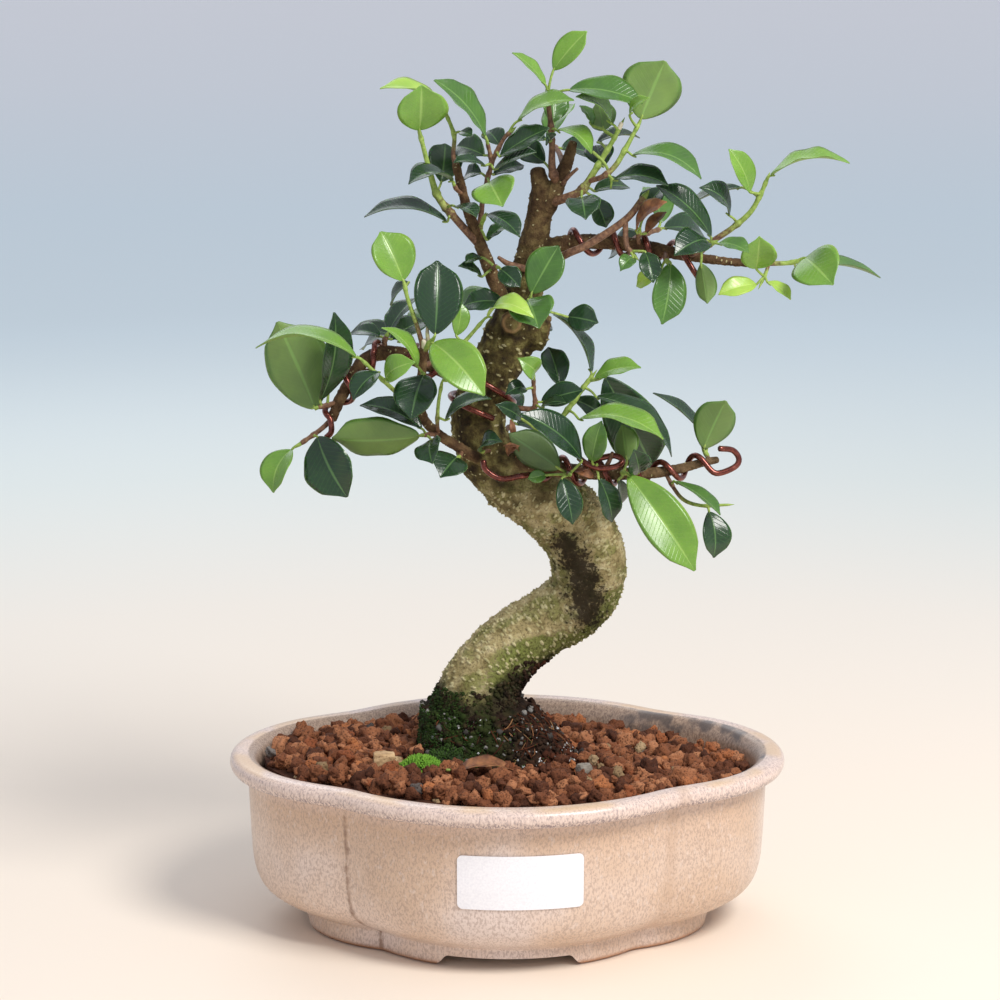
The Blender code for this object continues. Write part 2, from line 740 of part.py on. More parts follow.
def spray(name, tone, stems, leaves):
    """A twig, perhaps forked, with its leaves, joined into one solid."""
    paths = [drawn_path(stem, 1.2) for stem in stems]
    main = clear_start(paths[0], 6)
    bars = []
    for path in [main, *paths[1:]]:
        bars.append(tube_object("stem", [*path[:-2:4], path[-1]], 6))
    own = []
    for bar in bars:
        bm = bmesh.new()
        bm.from_mesh(bar.data)
        own.append(tree_of(bm))
        bm.free()
    every = [point for path in [main, *paths[1:]] for point in path[:-1]]
    grown = [grown_leaf([*every, every[-1]], row, own) for row in leaves]
    bm = combined(bars[0], [*bars[1:], *grown], "UNION")
    remember(bm)
    add(name, bm, tone, main[0].xyz, 50.0)


# Each spray: its name, its tone, its stems as rows of x, z, depth and radius, then its leaves as
# base, tip, width, roll and arch, with base and tip in the drawing plane and a depth.
SPRAYS = [
    (
        "spray_left_tip",
        "leaf_dark",
        [[(-57.5, 174, -10, 1.3), (-62, 169.5, -13, 1.1), (-69, 164.5, -15, 0.9)]],
        [
            ((-72, 162.5, -16), (-78.5, 147.5, -22), 12, 40, 0.2),
            ((-63.5, 166.8, -16), (-53.5, 146, -24), 17, -20, 0.12),
        ],
    ),
    (
        "spray_left_rise",
        "leaf_dark",
        [[(-56, 178.5, -9, 1.2), (-60, 177.5, -13, 1.0), (-63, 176.8, -14, 0.9)]],
        [
            ((-64, 176, -14), (-76.5, 205.8, -10), 22, 168, 0.06),
            ((-62.5, 179, -15), (-57.5, 209, -18), 14, 48, 0.1),
            ((-59.5, 182.5, -15), (-52, 194.5, -16), 6, 30, 0.1),
        ],
    ),
    (
        "spray_left_shoot",
        "leaf_young",
        [[(-28.5, 174, -20, 1.1), (-33, 178, -25, 1.0), (-40, 184.5, -30, 0.95), (-48, 192.3, -34, 0.7)]],
        [
            ((-50, 193.5, -35), (-84, 196.5, -28), 14, 74, 0.17),
            ((-42.5, 188.5, -33), (-51.5, 179, -39), 9, 40, 0.15),
            ((-40.5, 186.2, -32), (-30.5, 192, -39), 9, 30, 0.2),
        ],
    ),
    (
        "spray_left_crown",
        "leaf_dark",
        [[(-40, 194, -3, 1.3), (-40.8, 198.5, -3, 1.1), (-40.2, 200.5, -3, 0.9)]],
        [
            ((-39.5, 201, -2), (-29.5, 213.5, 4), 11, 60, 0.1),
            ((-38.5, 199.5, -2), (-27, 205.5, 8), 9, 35, 0.1),
            ((-42, 200.5, -2), (-52, 201, 4), 8, 55, 0.15),
        ],
    ),
    (
        "spray_front_left_low",
        "leaf_dark",
        [[(-23, 167.7, -18, 1.2), (-26, 167.5, -23, 1.0), (-28, 167.3, -25, 0.9)]],
        [
            ((-29, 167, -26), (-59.5, 165.5, -24), 15, 150, -0.06),
            ((-28.3, 169.3, -26), (-50, 177, -22), 11, 50, 0.12),
            ((-25.5, 165.8, -26), (-25, 157.5, -38), 10, -30, 0.1),
        ],
    ),
    (
        "spray_front_left_under",
        "leaf_dark",
        [[(-15, 162.3, -14, 1.0), (-15.6, 160.5, -18, 0.9), (-16, 160, -20, 0.8)]],
        [((-16.8, 159.8, -22), (-22.5, 152.8, -32), 12, 15, 0.1)],
    ),
    (
        "spray_trunk_notch",
        "leaf_dark",
        [[(-4, 162, -2, 1.0), (-6.5, 162, -12, 0.9), (-8, 161.6, -17, 0.8)]],
        [((-8.8, 161.5, -18.5), (-1.6, 165, -24), 8, 60, 0.3)],
    ),
    (
        "spray_front_left_knee",
        "leaf_dark",
        [[(-28.6, 186, -22, 1.2), (-28.2, 187.3, -26, 1.1), (-28, 187.8, -28, 1.0)]],
        [
            ((-27.8, 187.7, -30), (-32, 172.5, -40), 14.5, 20, 0.1),
            ((-29.8, 190.3, -28), (-42, 203.5, -27), 9, 62, 0.15),
        ],
    ),
    (
        "spray_front_left_riser",
        "leaf_young",
        [[(-23, 168, -18, 1.0), (-23.4, 171, -23, 0.9), (-23, 178, -25, 0.8), (-22, 184, -26, 0.7)]],
        [
            ((-20.8, 172.3, -26), (-5.2, 179.6, -27), 10, 65, 0.15),
            ((-21.5, 185.6, -27), (-14.6, 190.4, -30), 6, 35, 0.1),
        ],
    ),
    (
        "spray_bud",
        "leaf_young",
        [[(-27.8, 194.5, -23, 1.3), (-26.5, 197.2, -27, 1.2), (-25.3, 198.8, -29, 1.1)]],
        [
            ((-24, 201, -27), (-23.2, 226, -18), 16.5, 12, 0.06),
            ((-24.8, 198.3, -31), (-7.4, 180.3, -46), 15, 15, 0.15),
        ],
    ),
    (
        "spray_bud_shoot",
        "leaf_young",
        [[(-27.8, 196, -24, 1.2), (-30, 204, -26, 1.0), (-33, 213, -27, 0.9), (-34, 217.5, -27, 0.8)]],
        [
            ((-34.4, 219, -27), (-42, 235.5, -24), 15, 20, 0.06),
            ((-32.6, 218.6, -25), (-38.5, 210.5, -20), 8, 72, 0.1),
        ],
    ),
    (
        "spray_green_shoot",
        "leaf_young",
        [[(-28, 190.5, -22, 1.2), (-21, 193.6, -21, 1.0), (-15, 198, -20, 0.95), (-8.5, 205.3, -19, 0.7)]],
        [
            ((-17, 200.7, -20), (-15.5, 212, -18), 6.5, 25, 0.1),
            ((-6.5, 207, -20), (9, 206.5, -32), 9, 55, 0.28),
        ],
    ),
    (
        "spray_trunk_front",
        "leaf_dark",
        [[(5, 206, 0, 1.4), (7.2, 210, -10, 1.2), (7.4, 212.5, -15, 1.0), (7.6, 213.4, -16, 0.9)]],
        [
            ((8, 214.8, -17), (17, 230.8, -15), 12.5, 10, 0.05),
            ((6.8, 212.6, -19), (10.5, 203, -32), 15, 5, 0.12),
            ((20, 207, -10), (30.3, 205, -14), 9.5, 15, 0.1),
            ((-1, 211.6, -14), (-15, 210.5, -12), 9, 35, 0.15),
        ],
    ),
    (
        "spray_trunk_right",
        "leaf_dark",
        [
            [
                (-3, 176, -2, 1.4),
                (3, 176.3, -11, 1.3),
                (9, 176.6, -14, 1.1),
                (8.8, 182, -15, 0.9),
                (8.7, 186.5, -16, 0.8),
            ]
        ],
        [
            ((8.8, 187.8, -17), (3.3, 193.3, -24), 7.5, 20, 0.3),
            ((6.3, 182.8, -17), (-0.7, 181, -22), 6, 30, 0.25),
            ((11.3, 178.4, -15), (25.5, 182.5, -20), 8.5, 25, 0.05),
            ((11, 176.6, -17), (19.5, 178.3, -23), 6, 60, 0.1),
        ],
    ),
    (
        "spray_side_shoot",
        "leaf_young",
        [
            [
                (-2, 160.5, -2, 1.9),
                (4.5, 163, -10, 1.6),
                (12.5, 167, -13, 1.3),
                (18, 173, -14, 1.2),
                (22, 178.5, -14, 1.1),
                (25.5, 183.5, -14, 1.0),
                (27.6, 186.3, -14, 0.8),
            ]
        ],
        [
            ((28, 188.3, -14), (14.5, 208.6, -6), 12, 76, 0.12),
            ((29, 186.3, -15), (44.7, 190, -20), 9, 50, 0.12),
            ((32.5, 187, -6), (49, 155.8, 8), 19, 5, 0.05),
            ((22.2, 179.3, -10), (31, 174.3, -4), 7, 25, 0.1),
            ((29.5, 180.3, -17), (55.2, 159.5, -10), 12, 62, 0.16),
            ((24.5, 172.6, -19), (54.2, 165.8, -28), 13, 60, 0.15),
            ((17, 184.5, -6), (12.5, 198.5, 2), 9.5, 20, 0.08),
            ((4.7, 172.8, -19), (-4, 177.6, -27), 5.5, 25, 0.1),
        ],
    ),
    (
        "spray_lower_right_inner",
        "leaf_dark",
        [[(20, 155.3, -14.5, 1.2), (20.3, 154, -20, 1.0), (20.8, 153.8, -23, 0.9)]],
        [
            ((18.3, 152.6, -24), (22, 136.6, -28), 9, 15, 0.1),
            ((25, 158.5, -25), (4, 174.6, -32), 13, 45, 0.12),
            ((17.5, 157.5, -20), (8, 170, -4), 12, 170, 0.05),
            ((13, 153.6, -22), (6.8, 152.4, -24), 4.5, 10, 0.1),
        ],
    ),
    (
        "spray_lower_right_second",
        "leaf_dark",
        [[(29.5, 155, -15, 1.1), (29.6, 156, -20, 1.0), (29.8, 156.6, -22, 0.9)]],
        [
            ((28.4, 158.6, -24), (31.5, 173.4, -27), 8.5, 15, 0.08),
            ((30.6, 152.6, -24), (35.2, 137.3, -22), 9, 35, 0.1),
        ],
    ),
    (
        "spray_lower_right_third",
        "leaf_young",
        [[(38.5, 154.3, -15, 1.2), (38.6, 154.5, -20, 1.1), (39.3, 154.3, -23, 0.9)]],
        [
            ((40.5, 153.6, -25), (63.6, 120.3, -36), 16, 12, 0.08),
            ((37.4, 152.2, -23), (36, 139.5, -17), 7, 60, 0.1),
            ((40, 158.5, -20), (38.2, 171, -14), 9, 160, 0.05),
            ((44, 154.3, -23), (42.3, 162.4, -31), 8.5, 20, 0.1),
        ],
    ),
    (
        "spray_lower_right_hanging",
        "leaf_young",
        [
            [
                (53, 155, -13.5, 1.1),
                (54.5, 151.5, -16, 0.9),
                (58.8, 145.5, -18, 0.9),
                (65, 143.2, -19, 0.8),
                (73.5, 143.4, -20, 0.6),
            ]
        ],
        [
            ((56, 151.5, -19), (71.8, 139.8, -30), 9, 68, 0.06),
            ((67.8, 141.2, -20), (69.6, 125, -24), 11, 30, 0.15),
        ],
    ),
    (
        "spray_lower_right_end",
        "leaf_young",
        [[(67.5, 158.3, -12, 1.1), (67, 160, -8, 1.0), (66, 161.6, -6, 0.9)]],
        [
            ((65.6, 162.5, -7), (73, 179, -10), 14, 168, 0.06),
            ((66.5, 166.5, -1), (48.3, 181.6, 6), 11, 74, 0.06),
        ],
    ),
    (
        "spray_cut_twig",
        "twig_bark",
        [
            [
                (7, 219, 0, 2.1),
                (18, 227, -11, 1.8),
                (27, 231.2, -14, 1.7),
                (39, 239.3, -14, 1.6),
                (44.8, 246.5, -13, 1.4),
            ],
            [(38.8, 239.2, -14, 1.3), (39.3, 231, -15, 1.2), (41.5, 227.8, -16, 0.9)],
        ],
        [
            ((41.5, 226.6, -18), (37.3, 222.2, -24), 5.5, 20, 0.2),
            ((45.5, 228.6, -18), (48.3, 218.2, -24), 7.5, 15, 0.1),
        ],
    ),
    (
        "spray_upper_right_front",
        "leaf_dark",
        [[(60, 227.2, -6, 1.5), (64, 229.5, -12, 1.3), (67.5, 231.3, -15, 1.1)]],
        [
            ((66, 232.3, -17), (55, 227.3, -29), 11, 30, 0.15),
            ((69.5, 231.3, -17), (80, 228.2, -24), 8, 55, 0.1),
            ((67.3, 233.3, -15), (48.6, 250.6, -17), 12, 55, 0.1),
            ((64, 224.8, -15), (66.3, 211.2, -18), 7.5, 160, 0.05),
        ],
    ),
    (
        "spray_upper_right_rise",
        "leaf_young",
        [
            [
                (62, 226.8, -6, 1.5),
                (67, 231.5, -2, 1.4),
                (74, 236.3, -2, 1.3),
                (80, 241.6, -3, 1.2),
                (83.3, 247.5, -4, 1.0),
                (85.3, 252.3, -4, 0.8),
            ]
        ],
        [
            ((79.8, 248.2, -7), (72.5, 262.5, -10), 9, 40, 0.1),
            ((86.3, 253.6, -5), (112.8, 257.6, -10), 13, 74, 0.15),
            ((73.2, 240.5, -5), (63, 249.8, -10), 11, 60, 0.2),
            ((77, 249.8, 2), (58, 242.5, 6), 9, 76, 0.08),
        ],
    ),
    (
        "spray_upper_right_end",
        "leaf_young",
        [
            [(84, 224.8, -6, 1.2), (88.5, 224.7, -7, 1.1), (93, 224.9, -7, 1.0), (96.5, 225.6, -8, 0.8)],
            [(86.5, 224.8, -6.5, 0.9), (85.5, 221.5, -9, 0.8), (84.6, 219.4, -10, 0.7)],
        ],
        [
            ((98.5, 226.6, -9), (108, 217.5, -26), 17, 10, 0.1),
            ((95.5, 223.3, -4), (123.8, 219.8, 0), 12, 76, 0.1),
            ((82.3, 223, -12), (83.2, 233.8, -19), 12, 10, 0.08),
            ((82.5, 217.8, -11), (69.8, 214.3, -16), 7.5, 30, 0.1),
            ((86, 218.6, -11), (94, 212.6, -16), 5.5, 50, 0.1),
        ],
    ),
    (
        "spray_upper_right_curl",
        "leaf_dark",
        [[(43.5, 230.7, -5, 1.2), (43.2, 233.4, -10, 1.0), (43.5, 235, -12, 0.9)]],
        [
            ((42.6, 236, -14), (53.2, 246.3, -20), 8, 60, 0.15),
            ((44.8, 239.8, -9), (51.5, 250, -4), 9, 40, 0.1),
            ((45.6, 234.6, -13), (52.5, 241.8, -11), 5, 45, 0.1),
        ],
    ),
    (
        "spray_upper_right_hanging",
        "leaf_dark",
        [[(52, 228.6, -6, 1.3), (52.3, 226.8, -11, 1.1), (52.6, 225.8, -13, 1.0)]],
        [
            ((54, 224.8, -15), (51.2, 204.2, -22), 12, 20, 0.08),
            ((50.8, 222.4, -11), (42.7, 217, -6), 6, 30, 0.1),
        ],
    ),
    (
        "spray_top_left_shoot",
        "leaf_young",
        [
            [
                (-17, 257, -7, 1.1),
                (-17.8, 260.5, -7, 1.0),
                (-17.4, 266, -7, 0.95),
                (-18.3, 269.5, -7, 0.9),
                (-20, 273.5, -8, 0.7),
            ]
        ],
        [
            ((-20.4, 275, -9), (-42, 282, -14), 12, 76, 0.15),
            ((-15.6, 268, -9), (-11.5, 266.5, -13), 4.5, 40, 0.1),
        ],
    ),
    (
        "spray_top_left_fork",
        "leaf_young",
        [
            [
                (-9.4, 231, -5, 1.8),
                (-17, 239.5, -9, 1.7),
                (-22.8, 246.8, -11, 1.6),
                (-25.5, 255, -12, 1.2),
                (-28.6, 267, -13, 0.9),
            ]
        ],
        [
            ((-28.8, 269, -13.5), (-28, 285, -13), 17, 15, 0.06),
            ((-21.8, 251.6, 1), (-20.5, 264.3, 9), 12, 15, 0.06),
            ((-19.8, 238.6, -12), (-47.5, 240, -10), 13, 72, 0.15),
            ((-17.2, 243.6, -16), (-10, 240, -24), 8, 60, 0.1),
        ],
    ),
    (
        "spray_upper_left_side",
        "leaf_dark",
        [[(-14.6, 247.5, -6, 1.0), (-16.6, 249, -10, 0.9), (-17.5, 250.6, -12, 0.8)]],
        [((-18.5, 252, -13), (-35, 251.5, -19), 12, 70, 0.2)],
    ),
    (
        "spray_crown_left",
        "leaf_dark",
        [
            [
                (-9.8, 233, -5, 1.4),
                (-8.8, 240, -2, 1.3),
                (-8, 247, -3, 1.1),
                (-6.5, 253, -4, 1.0),
                (-5.3, 258, -5, 1.0),
                (-6.6, 264.5, -6, 0.7),
            ],
            [(-5.4, 257.4, -5, 1.0), (-3.5, 261.5, -6, 0.95), (-1, 266, -7, 0.9), (1, 268, -8, 0.8)],
        ],
        [
            ((-7.2, 266.2, -7), (-24.3, 285, -10), 13, 60, 0.1),
            ((-7.6, 260.3, -3), (-16.7, 263.3, 6), 10, 30, 0.08),
            ((-7.2, 257, -8), (-17.8, 258, -14), 7, 66, 0.1),
            ((-8.6, 254.5, -1), (-14, 253.6, 6), 7, 45, 0.1),
            ((-6, 251.6, -8), (-1.5, 243.5, -20), 15, 5, 0.1),
            ((3.2, 271.4, -10), (22, 278.3, -14), 12, 68, 0.12),
            ((-2.6, 259.9, -9), (14, 269.3, -12), 9, 45, 0.05),
            ((-4.4, 255.7, -9), (9.6, 261.5, -16), 9, 68, 0.05),
            ((-4.6, 254, -1), (5.5, 257, 6), 7, 45, 0.08),
            ((-2.5, 263.5, -2), (-6.5, 268.3, 5), 8, 25, 0.08),
        ],
    ),
    (
        "spray_upper_left_low",
        "leaf_dark",
        [[(-5.6, 222.5, -5, 1.2), (-4.2, 223.6, -10, 1.0), (-3.4, 223.6, -12, 0.8)]],
        [
            ((-2.4, 223, -14), (4.3, 216.8, -20), 7.5, 15, 0.1),
            ((-8.5, 226.8, -11), (-14, 224.9, -15), 5, 50, 0.1),
            ((-8.4, 220.4, -10), (-16.3, 224, -14), 5.5, 60, 0.12),
        ],
    ),
    (
        "spray_upper_left_inner",
        "leaf_young",
        [[(-9.6, 235, -5, 1.1), (-8.2, 238.6, -9, 0.9), (-7.6, 240.2, -11, 0.8)]],
        [
            ((-6.6, 241, -13), (4.2, 233.4, -23), 9, 45, 0.12),
            ((-6.8, 232.5, -9), (1.2, 238.2, -6), 6, 50, 0.08),
        ],
    ),
    (
        "spray_centre_stem",
        "leaf_dark",
        [
            [
                (16.4, 250.5, -1, 2.0),
                (14.7, 256, -5, 1.8),
                (14.6, 263, -6, 1.4),
                (14.2, 270, -6, 1.2),
                (13.4, 276.5, -6, 1.1),
                (13, 280.5, -6, 0.9),
            ]
        ],
        [
            ((15, 288, -7), (26, 300.7, -9), 9, 25, 0.06),
            ((12.6, 283, -8), (1.7, 293.3, -11), 7, 62, 0.06),
            ((20, 281.6, -10), (44.6, 277, -17), 12, 50, 0.1),
            ((14.8, 271, 2), (15, 282, 8), 10, 20, 0.05),
            ((16, 268.6, -9), (27.7, 260.7, -15), 10, 60, 0.2),
            ((13.2, 265.6, -9), (11.5, 269.4, -14), 5, 30, 0.1),
            ((12.8, 257.5, 2), (5, 262.5, 8), 8.5, 20, 0.08),
        ],
    ),
    (
        "spray_apex_right",
        "leaf_young",
        [
            [
                (13.5, 244.6, -1, 2.3),
                (19.5, 246.5, -6, 2.0),
                (24.5, 249, -8, 1.8),
                (28.5, 255, -9, 1.4),
                (31.5, 260, -9, 1.2),
                (34.5, 265, -9, 1.0),
                (36.8, 269.5, -9, 0.8),
            ]
        ],
        [
            ((34, 270.7, -11), (22.8, 278.9, -16), 12, 66, 0.2),
            ((31.6, 268.4, -7), (29.5, 278.5, 1), 9.5, 165, 0.05),
            ((27.8, 270, -5), (23.5, 276.6, -3), 6, 60, 0.1),
            ((29.5, 264.6, -2), (43.5, 266, 4), 9, 72, 0.12),
            ((31.5, 256.6, -3), (29, 263.6, 6), 10, 10, 0.06),
            ((24.4, 246.6, -13), (25.8, 239.2, -25), 11.5, 5, 0.1),
            ((28.6, 246.4, -6), (32.6, 236.5, -6), 8, 20, 0.08),
            ((28.5, 248.6, -4), (40.3, 249.6, 4), 8, 55, 0.1),
        ],
    ),
    (
        "spray_apex_outer",
        "leaf_young",
        [
            [
                (26.5, 251.8, -8.5, 1.3),
                (31.5, 253.5, -13, 1.2),
                (35.5, 257, -13, 1.2),
                (39, 263, -13, 1.1),
                (43, 270.5, -13, 0.8),
            ]
        ],
        [
            ((43.6, 272, -13.5), (51.5, 291.2, -15), 20, 168, 0.05),
            ((40.5, 275.6, -16), (47.5, 284.6, -20), 4.5, 50, 0.15),
            ((40.8, 260.4, -15), (64, 252.3, -22), 12, 62, 0.18),
            ((34.8, 252.3, -15), (53.2, 250.3, -21), 10, 55, 0.15),
        ],
    ),
    (
        "spray_back_left",
        "leaf_dark",
        [[(-28, 192.3, 0, 1.3), (-31, 197, 12, 1.1), (-33, 200, 24, 0.9)]],
        [
            ((-34, 201, 26), (-48, 196, 44), 13, 60, 0.12),
            ((-31.6, 201.6, 26), (-22, 209, 42), 12, 55, 0.1),
            ((-35, 198.6, 22), (-53, 201, 22), 12, 65, 0.15),
        ],
    ),
    (
        "spray_back_low",
        "leaf_dark",
        [[(-7, 162, 3, 1.6), (-3, 167, 20, 1.3), (2, 171, 34, 1.0)]],
        [
            ((3, 171, 36), (20, 166, 52), 13, 50, 0.1),
            ((1.6, 172.6, 36), (-4, 183, 54), 13, 40, 0.1),
            ((0, 168, 30), (-17, 161, 42), 12, 45, 0.12),
        ],
    ),
    (
        "spray_back_middle",
        "leaf_dark",
        [[(1, 200, 3, 1.8), (0, 206, 18, 1.5), (-2, 211, 30, 1.0)]],
        [
            ((-3.4, 212, 32), (-19, 208, 46), 13, 55, 0.12),
            ((-1, 213, 32), (9, 221, 48), 13, 45, 0.1),
            ((0.6, 209.6, 28), (15, 203, 40), 12, 50, 0.1),
        ],
    ),
    (
        "spray_back_right",
        "leaf_dark",
        [[(40, 231.2, -4, 1.5), (44, 234, 12, 1.3), (50, 236, 24, 1.0)]],
        [
            ((51.6, 236.4, 26), (66, 232, 40), 13, 60, 0.12),
            ((50.4, 238, 25), (46, 250, 38), 12, 45, 0.1),
            ((45, 232.8, 18), (34, 227, 32), 12, 55, 0.1),
        ],
    ),
    (
        "spray_back_top",
        "leaf_dark",
        [[(18.6, 256, 0, 1.5), (17, 261, 14, 1.2), (14, 265, 26, 0.9)]],
        [
            ((12.6, 265.6, 28), (-2, 262, 42), 12, 55, 0.1),
            ((14.2, 266.6, 27), (21, 277, 40), 12, 50, 0.1),
            ((17.6, 262.6, 20), (31, 258, 32), 12, 60, 0.1),
        ],
    ),
]


def fallen_leaf():
    base, tip = beside_ball(250, 9.0), beside_ball(277, 6.0)
    for end in (base, tip):
        end.z += 1.6
    root = base + (base - tip).normalized() * 3.0 + Vector((0, 0, 0.6))
    bm = leaf_bmesh(leaf_rings(root, base, tip, 7.0, 80.0, 0.1))
    add("fallen_leaf", bm, "dry_leaf", base)


def centre_on_origin():
    """Moves the frame so that the middle of the whole plant's box stands on the origin."""
    bpy.context.view_layer.update()
    solids = [obj for obj in plant.objects if obj.type == "MESH"]
    corners = [obj.matrix_world @ vertex.co for obj in solids for vertex in obj.data.vertices]
    low = Vector([min(corner[k] for corner in corners) for k in range(3)])
    high = Vector([max(corner[k] for corner in corners) for k in range(3)])
    stand.location = (-(low.x + high.x) / 2, -(low.y + high.y) / 2, -low.z)


pot()
drain_screens()
label()
soil()
root_ball()
pad_on_soil("moss_patch", "moss", beside_ball(225, 8.6), 7.5, 6.0, 2.6, 0.4)
pad_on_soil("stone_left", "pebble", beside_ball(208, 15.5), 4.2, 3.2, 3.4, 0.2)
pad_on_soil("stone_right", "pebble", beside_ball(-44, 11.4), 2.8, 2.3, 3.0, 0.8)
fallen_leaf()
trunk()
for branch_name in BRANCHES:
    branch(branch_name)
wires()
for spray_name, tone, stems, leaves in SPRAYS:
    spray(spray_name, tone, stems, leaves)
centre_on_origin()
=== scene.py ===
# %% [markdown]
# # A wired ficus bonsai in a glazed pot
# A small-leaved ficus, trained into an S with soft aluminium wire, stands in a lobed pot of stoneware.
# A plain solid model of it already fixes every size and place. This notebook makes what the eye sees
# round that model: the fired glaze, the lumpy lava granules, the bark with its pale pores, and 132
# leaves, each a thin shell of its own. All of it is mesh and node work, so nothing is read from disk
# but the model.

# %% Load the fixed model
import bpy
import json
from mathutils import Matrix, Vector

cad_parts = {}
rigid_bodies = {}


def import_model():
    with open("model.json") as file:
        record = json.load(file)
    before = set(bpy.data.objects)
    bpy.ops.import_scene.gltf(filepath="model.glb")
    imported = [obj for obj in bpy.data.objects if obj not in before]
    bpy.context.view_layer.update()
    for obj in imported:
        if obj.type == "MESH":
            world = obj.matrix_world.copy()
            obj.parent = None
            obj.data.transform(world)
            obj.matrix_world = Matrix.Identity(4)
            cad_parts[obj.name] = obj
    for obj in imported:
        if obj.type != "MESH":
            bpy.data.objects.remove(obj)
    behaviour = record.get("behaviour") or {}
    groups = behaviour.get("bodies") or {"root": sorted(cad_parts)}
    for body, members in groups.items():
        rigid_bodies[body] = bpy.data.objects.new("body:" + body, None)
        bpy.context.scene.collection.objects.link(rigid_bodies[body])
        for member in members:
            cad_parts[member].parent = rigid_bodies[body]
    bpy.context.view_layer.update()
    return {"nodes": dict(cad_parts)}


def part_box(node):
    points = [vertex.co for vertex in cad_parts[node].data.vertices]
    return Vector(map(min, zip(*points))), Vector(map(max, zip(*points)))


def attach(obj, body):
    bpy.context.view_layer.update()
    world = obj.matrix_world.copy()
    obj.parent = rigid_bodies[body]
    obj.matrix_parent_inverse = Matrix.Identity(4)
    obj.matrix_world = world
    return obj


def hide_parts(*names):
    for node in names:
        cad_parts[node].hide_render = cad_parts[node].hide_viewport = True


for old in list(bpy.data.objects):
    bpy.data.objects.remove(old, do_unlink=True)
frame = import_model()

# %% [markdown]
# ## Where everything is measured from
# The model stands on the middle of its whole box, but a potter and a grower both measure from the pot.
# So every number below is in millimetres from the point on the table under the middle of the pot, and
# one helper turns such points into metres in the model's frame. Asking the model for the pot's box
# keeps the two in step if the tree ever leans further and moves the box.

# %% Units and the pot's place
import json
import math

import bmesh
import numpy as np
from mathutils import Matrix, Quaternion, Vector, noise
from mathutils.kdtree import KDTree

MM = 0.001
pot_low, pot_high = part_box("pot")
UNDER_POT = np.array([(pot_low.x + pot_high.x) / 2, (pot_low.y + pot_high.y) / 2, pot_low.z])
POT_LENGTH, POT_WIDTH, POT_HEIGHT = (pot_high - pot_low) / MM


def in_frame(points):
    return np.asarray(points, float) * MM + UNDER_POT


def blend(low, high, value):
    """0 below low, 1 above high, and a soft step between."""
    share = np.clip((np.asarray(value, float) - low) / (high - low), 0.0, 1.0)
    return share * share * (3 - 2 * share)


print("pot", round(POT_LENGTH, 1), "x", round(POT_WIDTH, 1), "x", round(POT_HEIGHT, 1), "mm")

# %% [markdown]
# ## Camera, light and table
# A bonsai is shown at the height of its lower branches, from a little above the rim, with a long lens
# so that the pot keeps its shape. The light is one soft box over the front right and a weak one behind,
# in a pale bluish room, which is what puts the cool sheen on the leaves. The table is one wide disc,
# with light painted into its colour: a warm pale pool of painted light near the pot, and cooler painted
# light further out. A disc has no wall that a view from behind could run into.

# %% Camera
EYE_PLACE = (-8.4, -946.0, 327.0)
LENS, LENS_REACH = 103.3, 100.0
LOOK_DOWN, LOOK_RIGHT = 10.88, 0.36


def put_in_scene(name, data):
    """A new object around a lens, a lamp or a mesh."""
    made = bpy.data.objects.new(name, data)
    bpy.context.scene.collection.objects.link(made)
    return made


view = bpy.data.cameras.new("portrait_lens")
view.lens = LENS
view.sensor_width = 36.0
view.clip_end = LENS_REACH
camera = put_in_scene("portrait_camera", view)
camera.location = in_frame(EYE_PLACE)
camera.rotation_euler = (math.radians(90 - LOOK_DOWN), 0.0, -math.radians(LOOK_RIGHT))
bpy.context.scene.camera = camera
bpy.context.scene.view_settings.view_transform = "Standard"
print("lens of", LENS, "mm, looking down", LOOK_DOWN, "degrees")


# %% Colours, written as a paint chart writes them
def paint(red, green, blue):
    """A colour of 0 to 255 a channel, as the light it reflects."""
    return tuple(((c / 255 + 0.055) / 1.055) ** 2.4 if c > 10 else c / 3295 for c in (red, green, blue))


print("mid grey reflects", round(paint(128, 128, 128)[0], 3))


# %% [markdown]
# ## Writing a finish
# Each finish is one Principled shader with a small graph in front of it. Wiring nodes by hand takes
# four lines for each, so a short class does it: every method adds one node or a few and returns the
# output, and a graph then reads like the recipe of the glaze or the bark. Colours go on in layers, as
# glazes do: colour() lays the ground and each cover() puts one more over it. Sizes are millimetres.


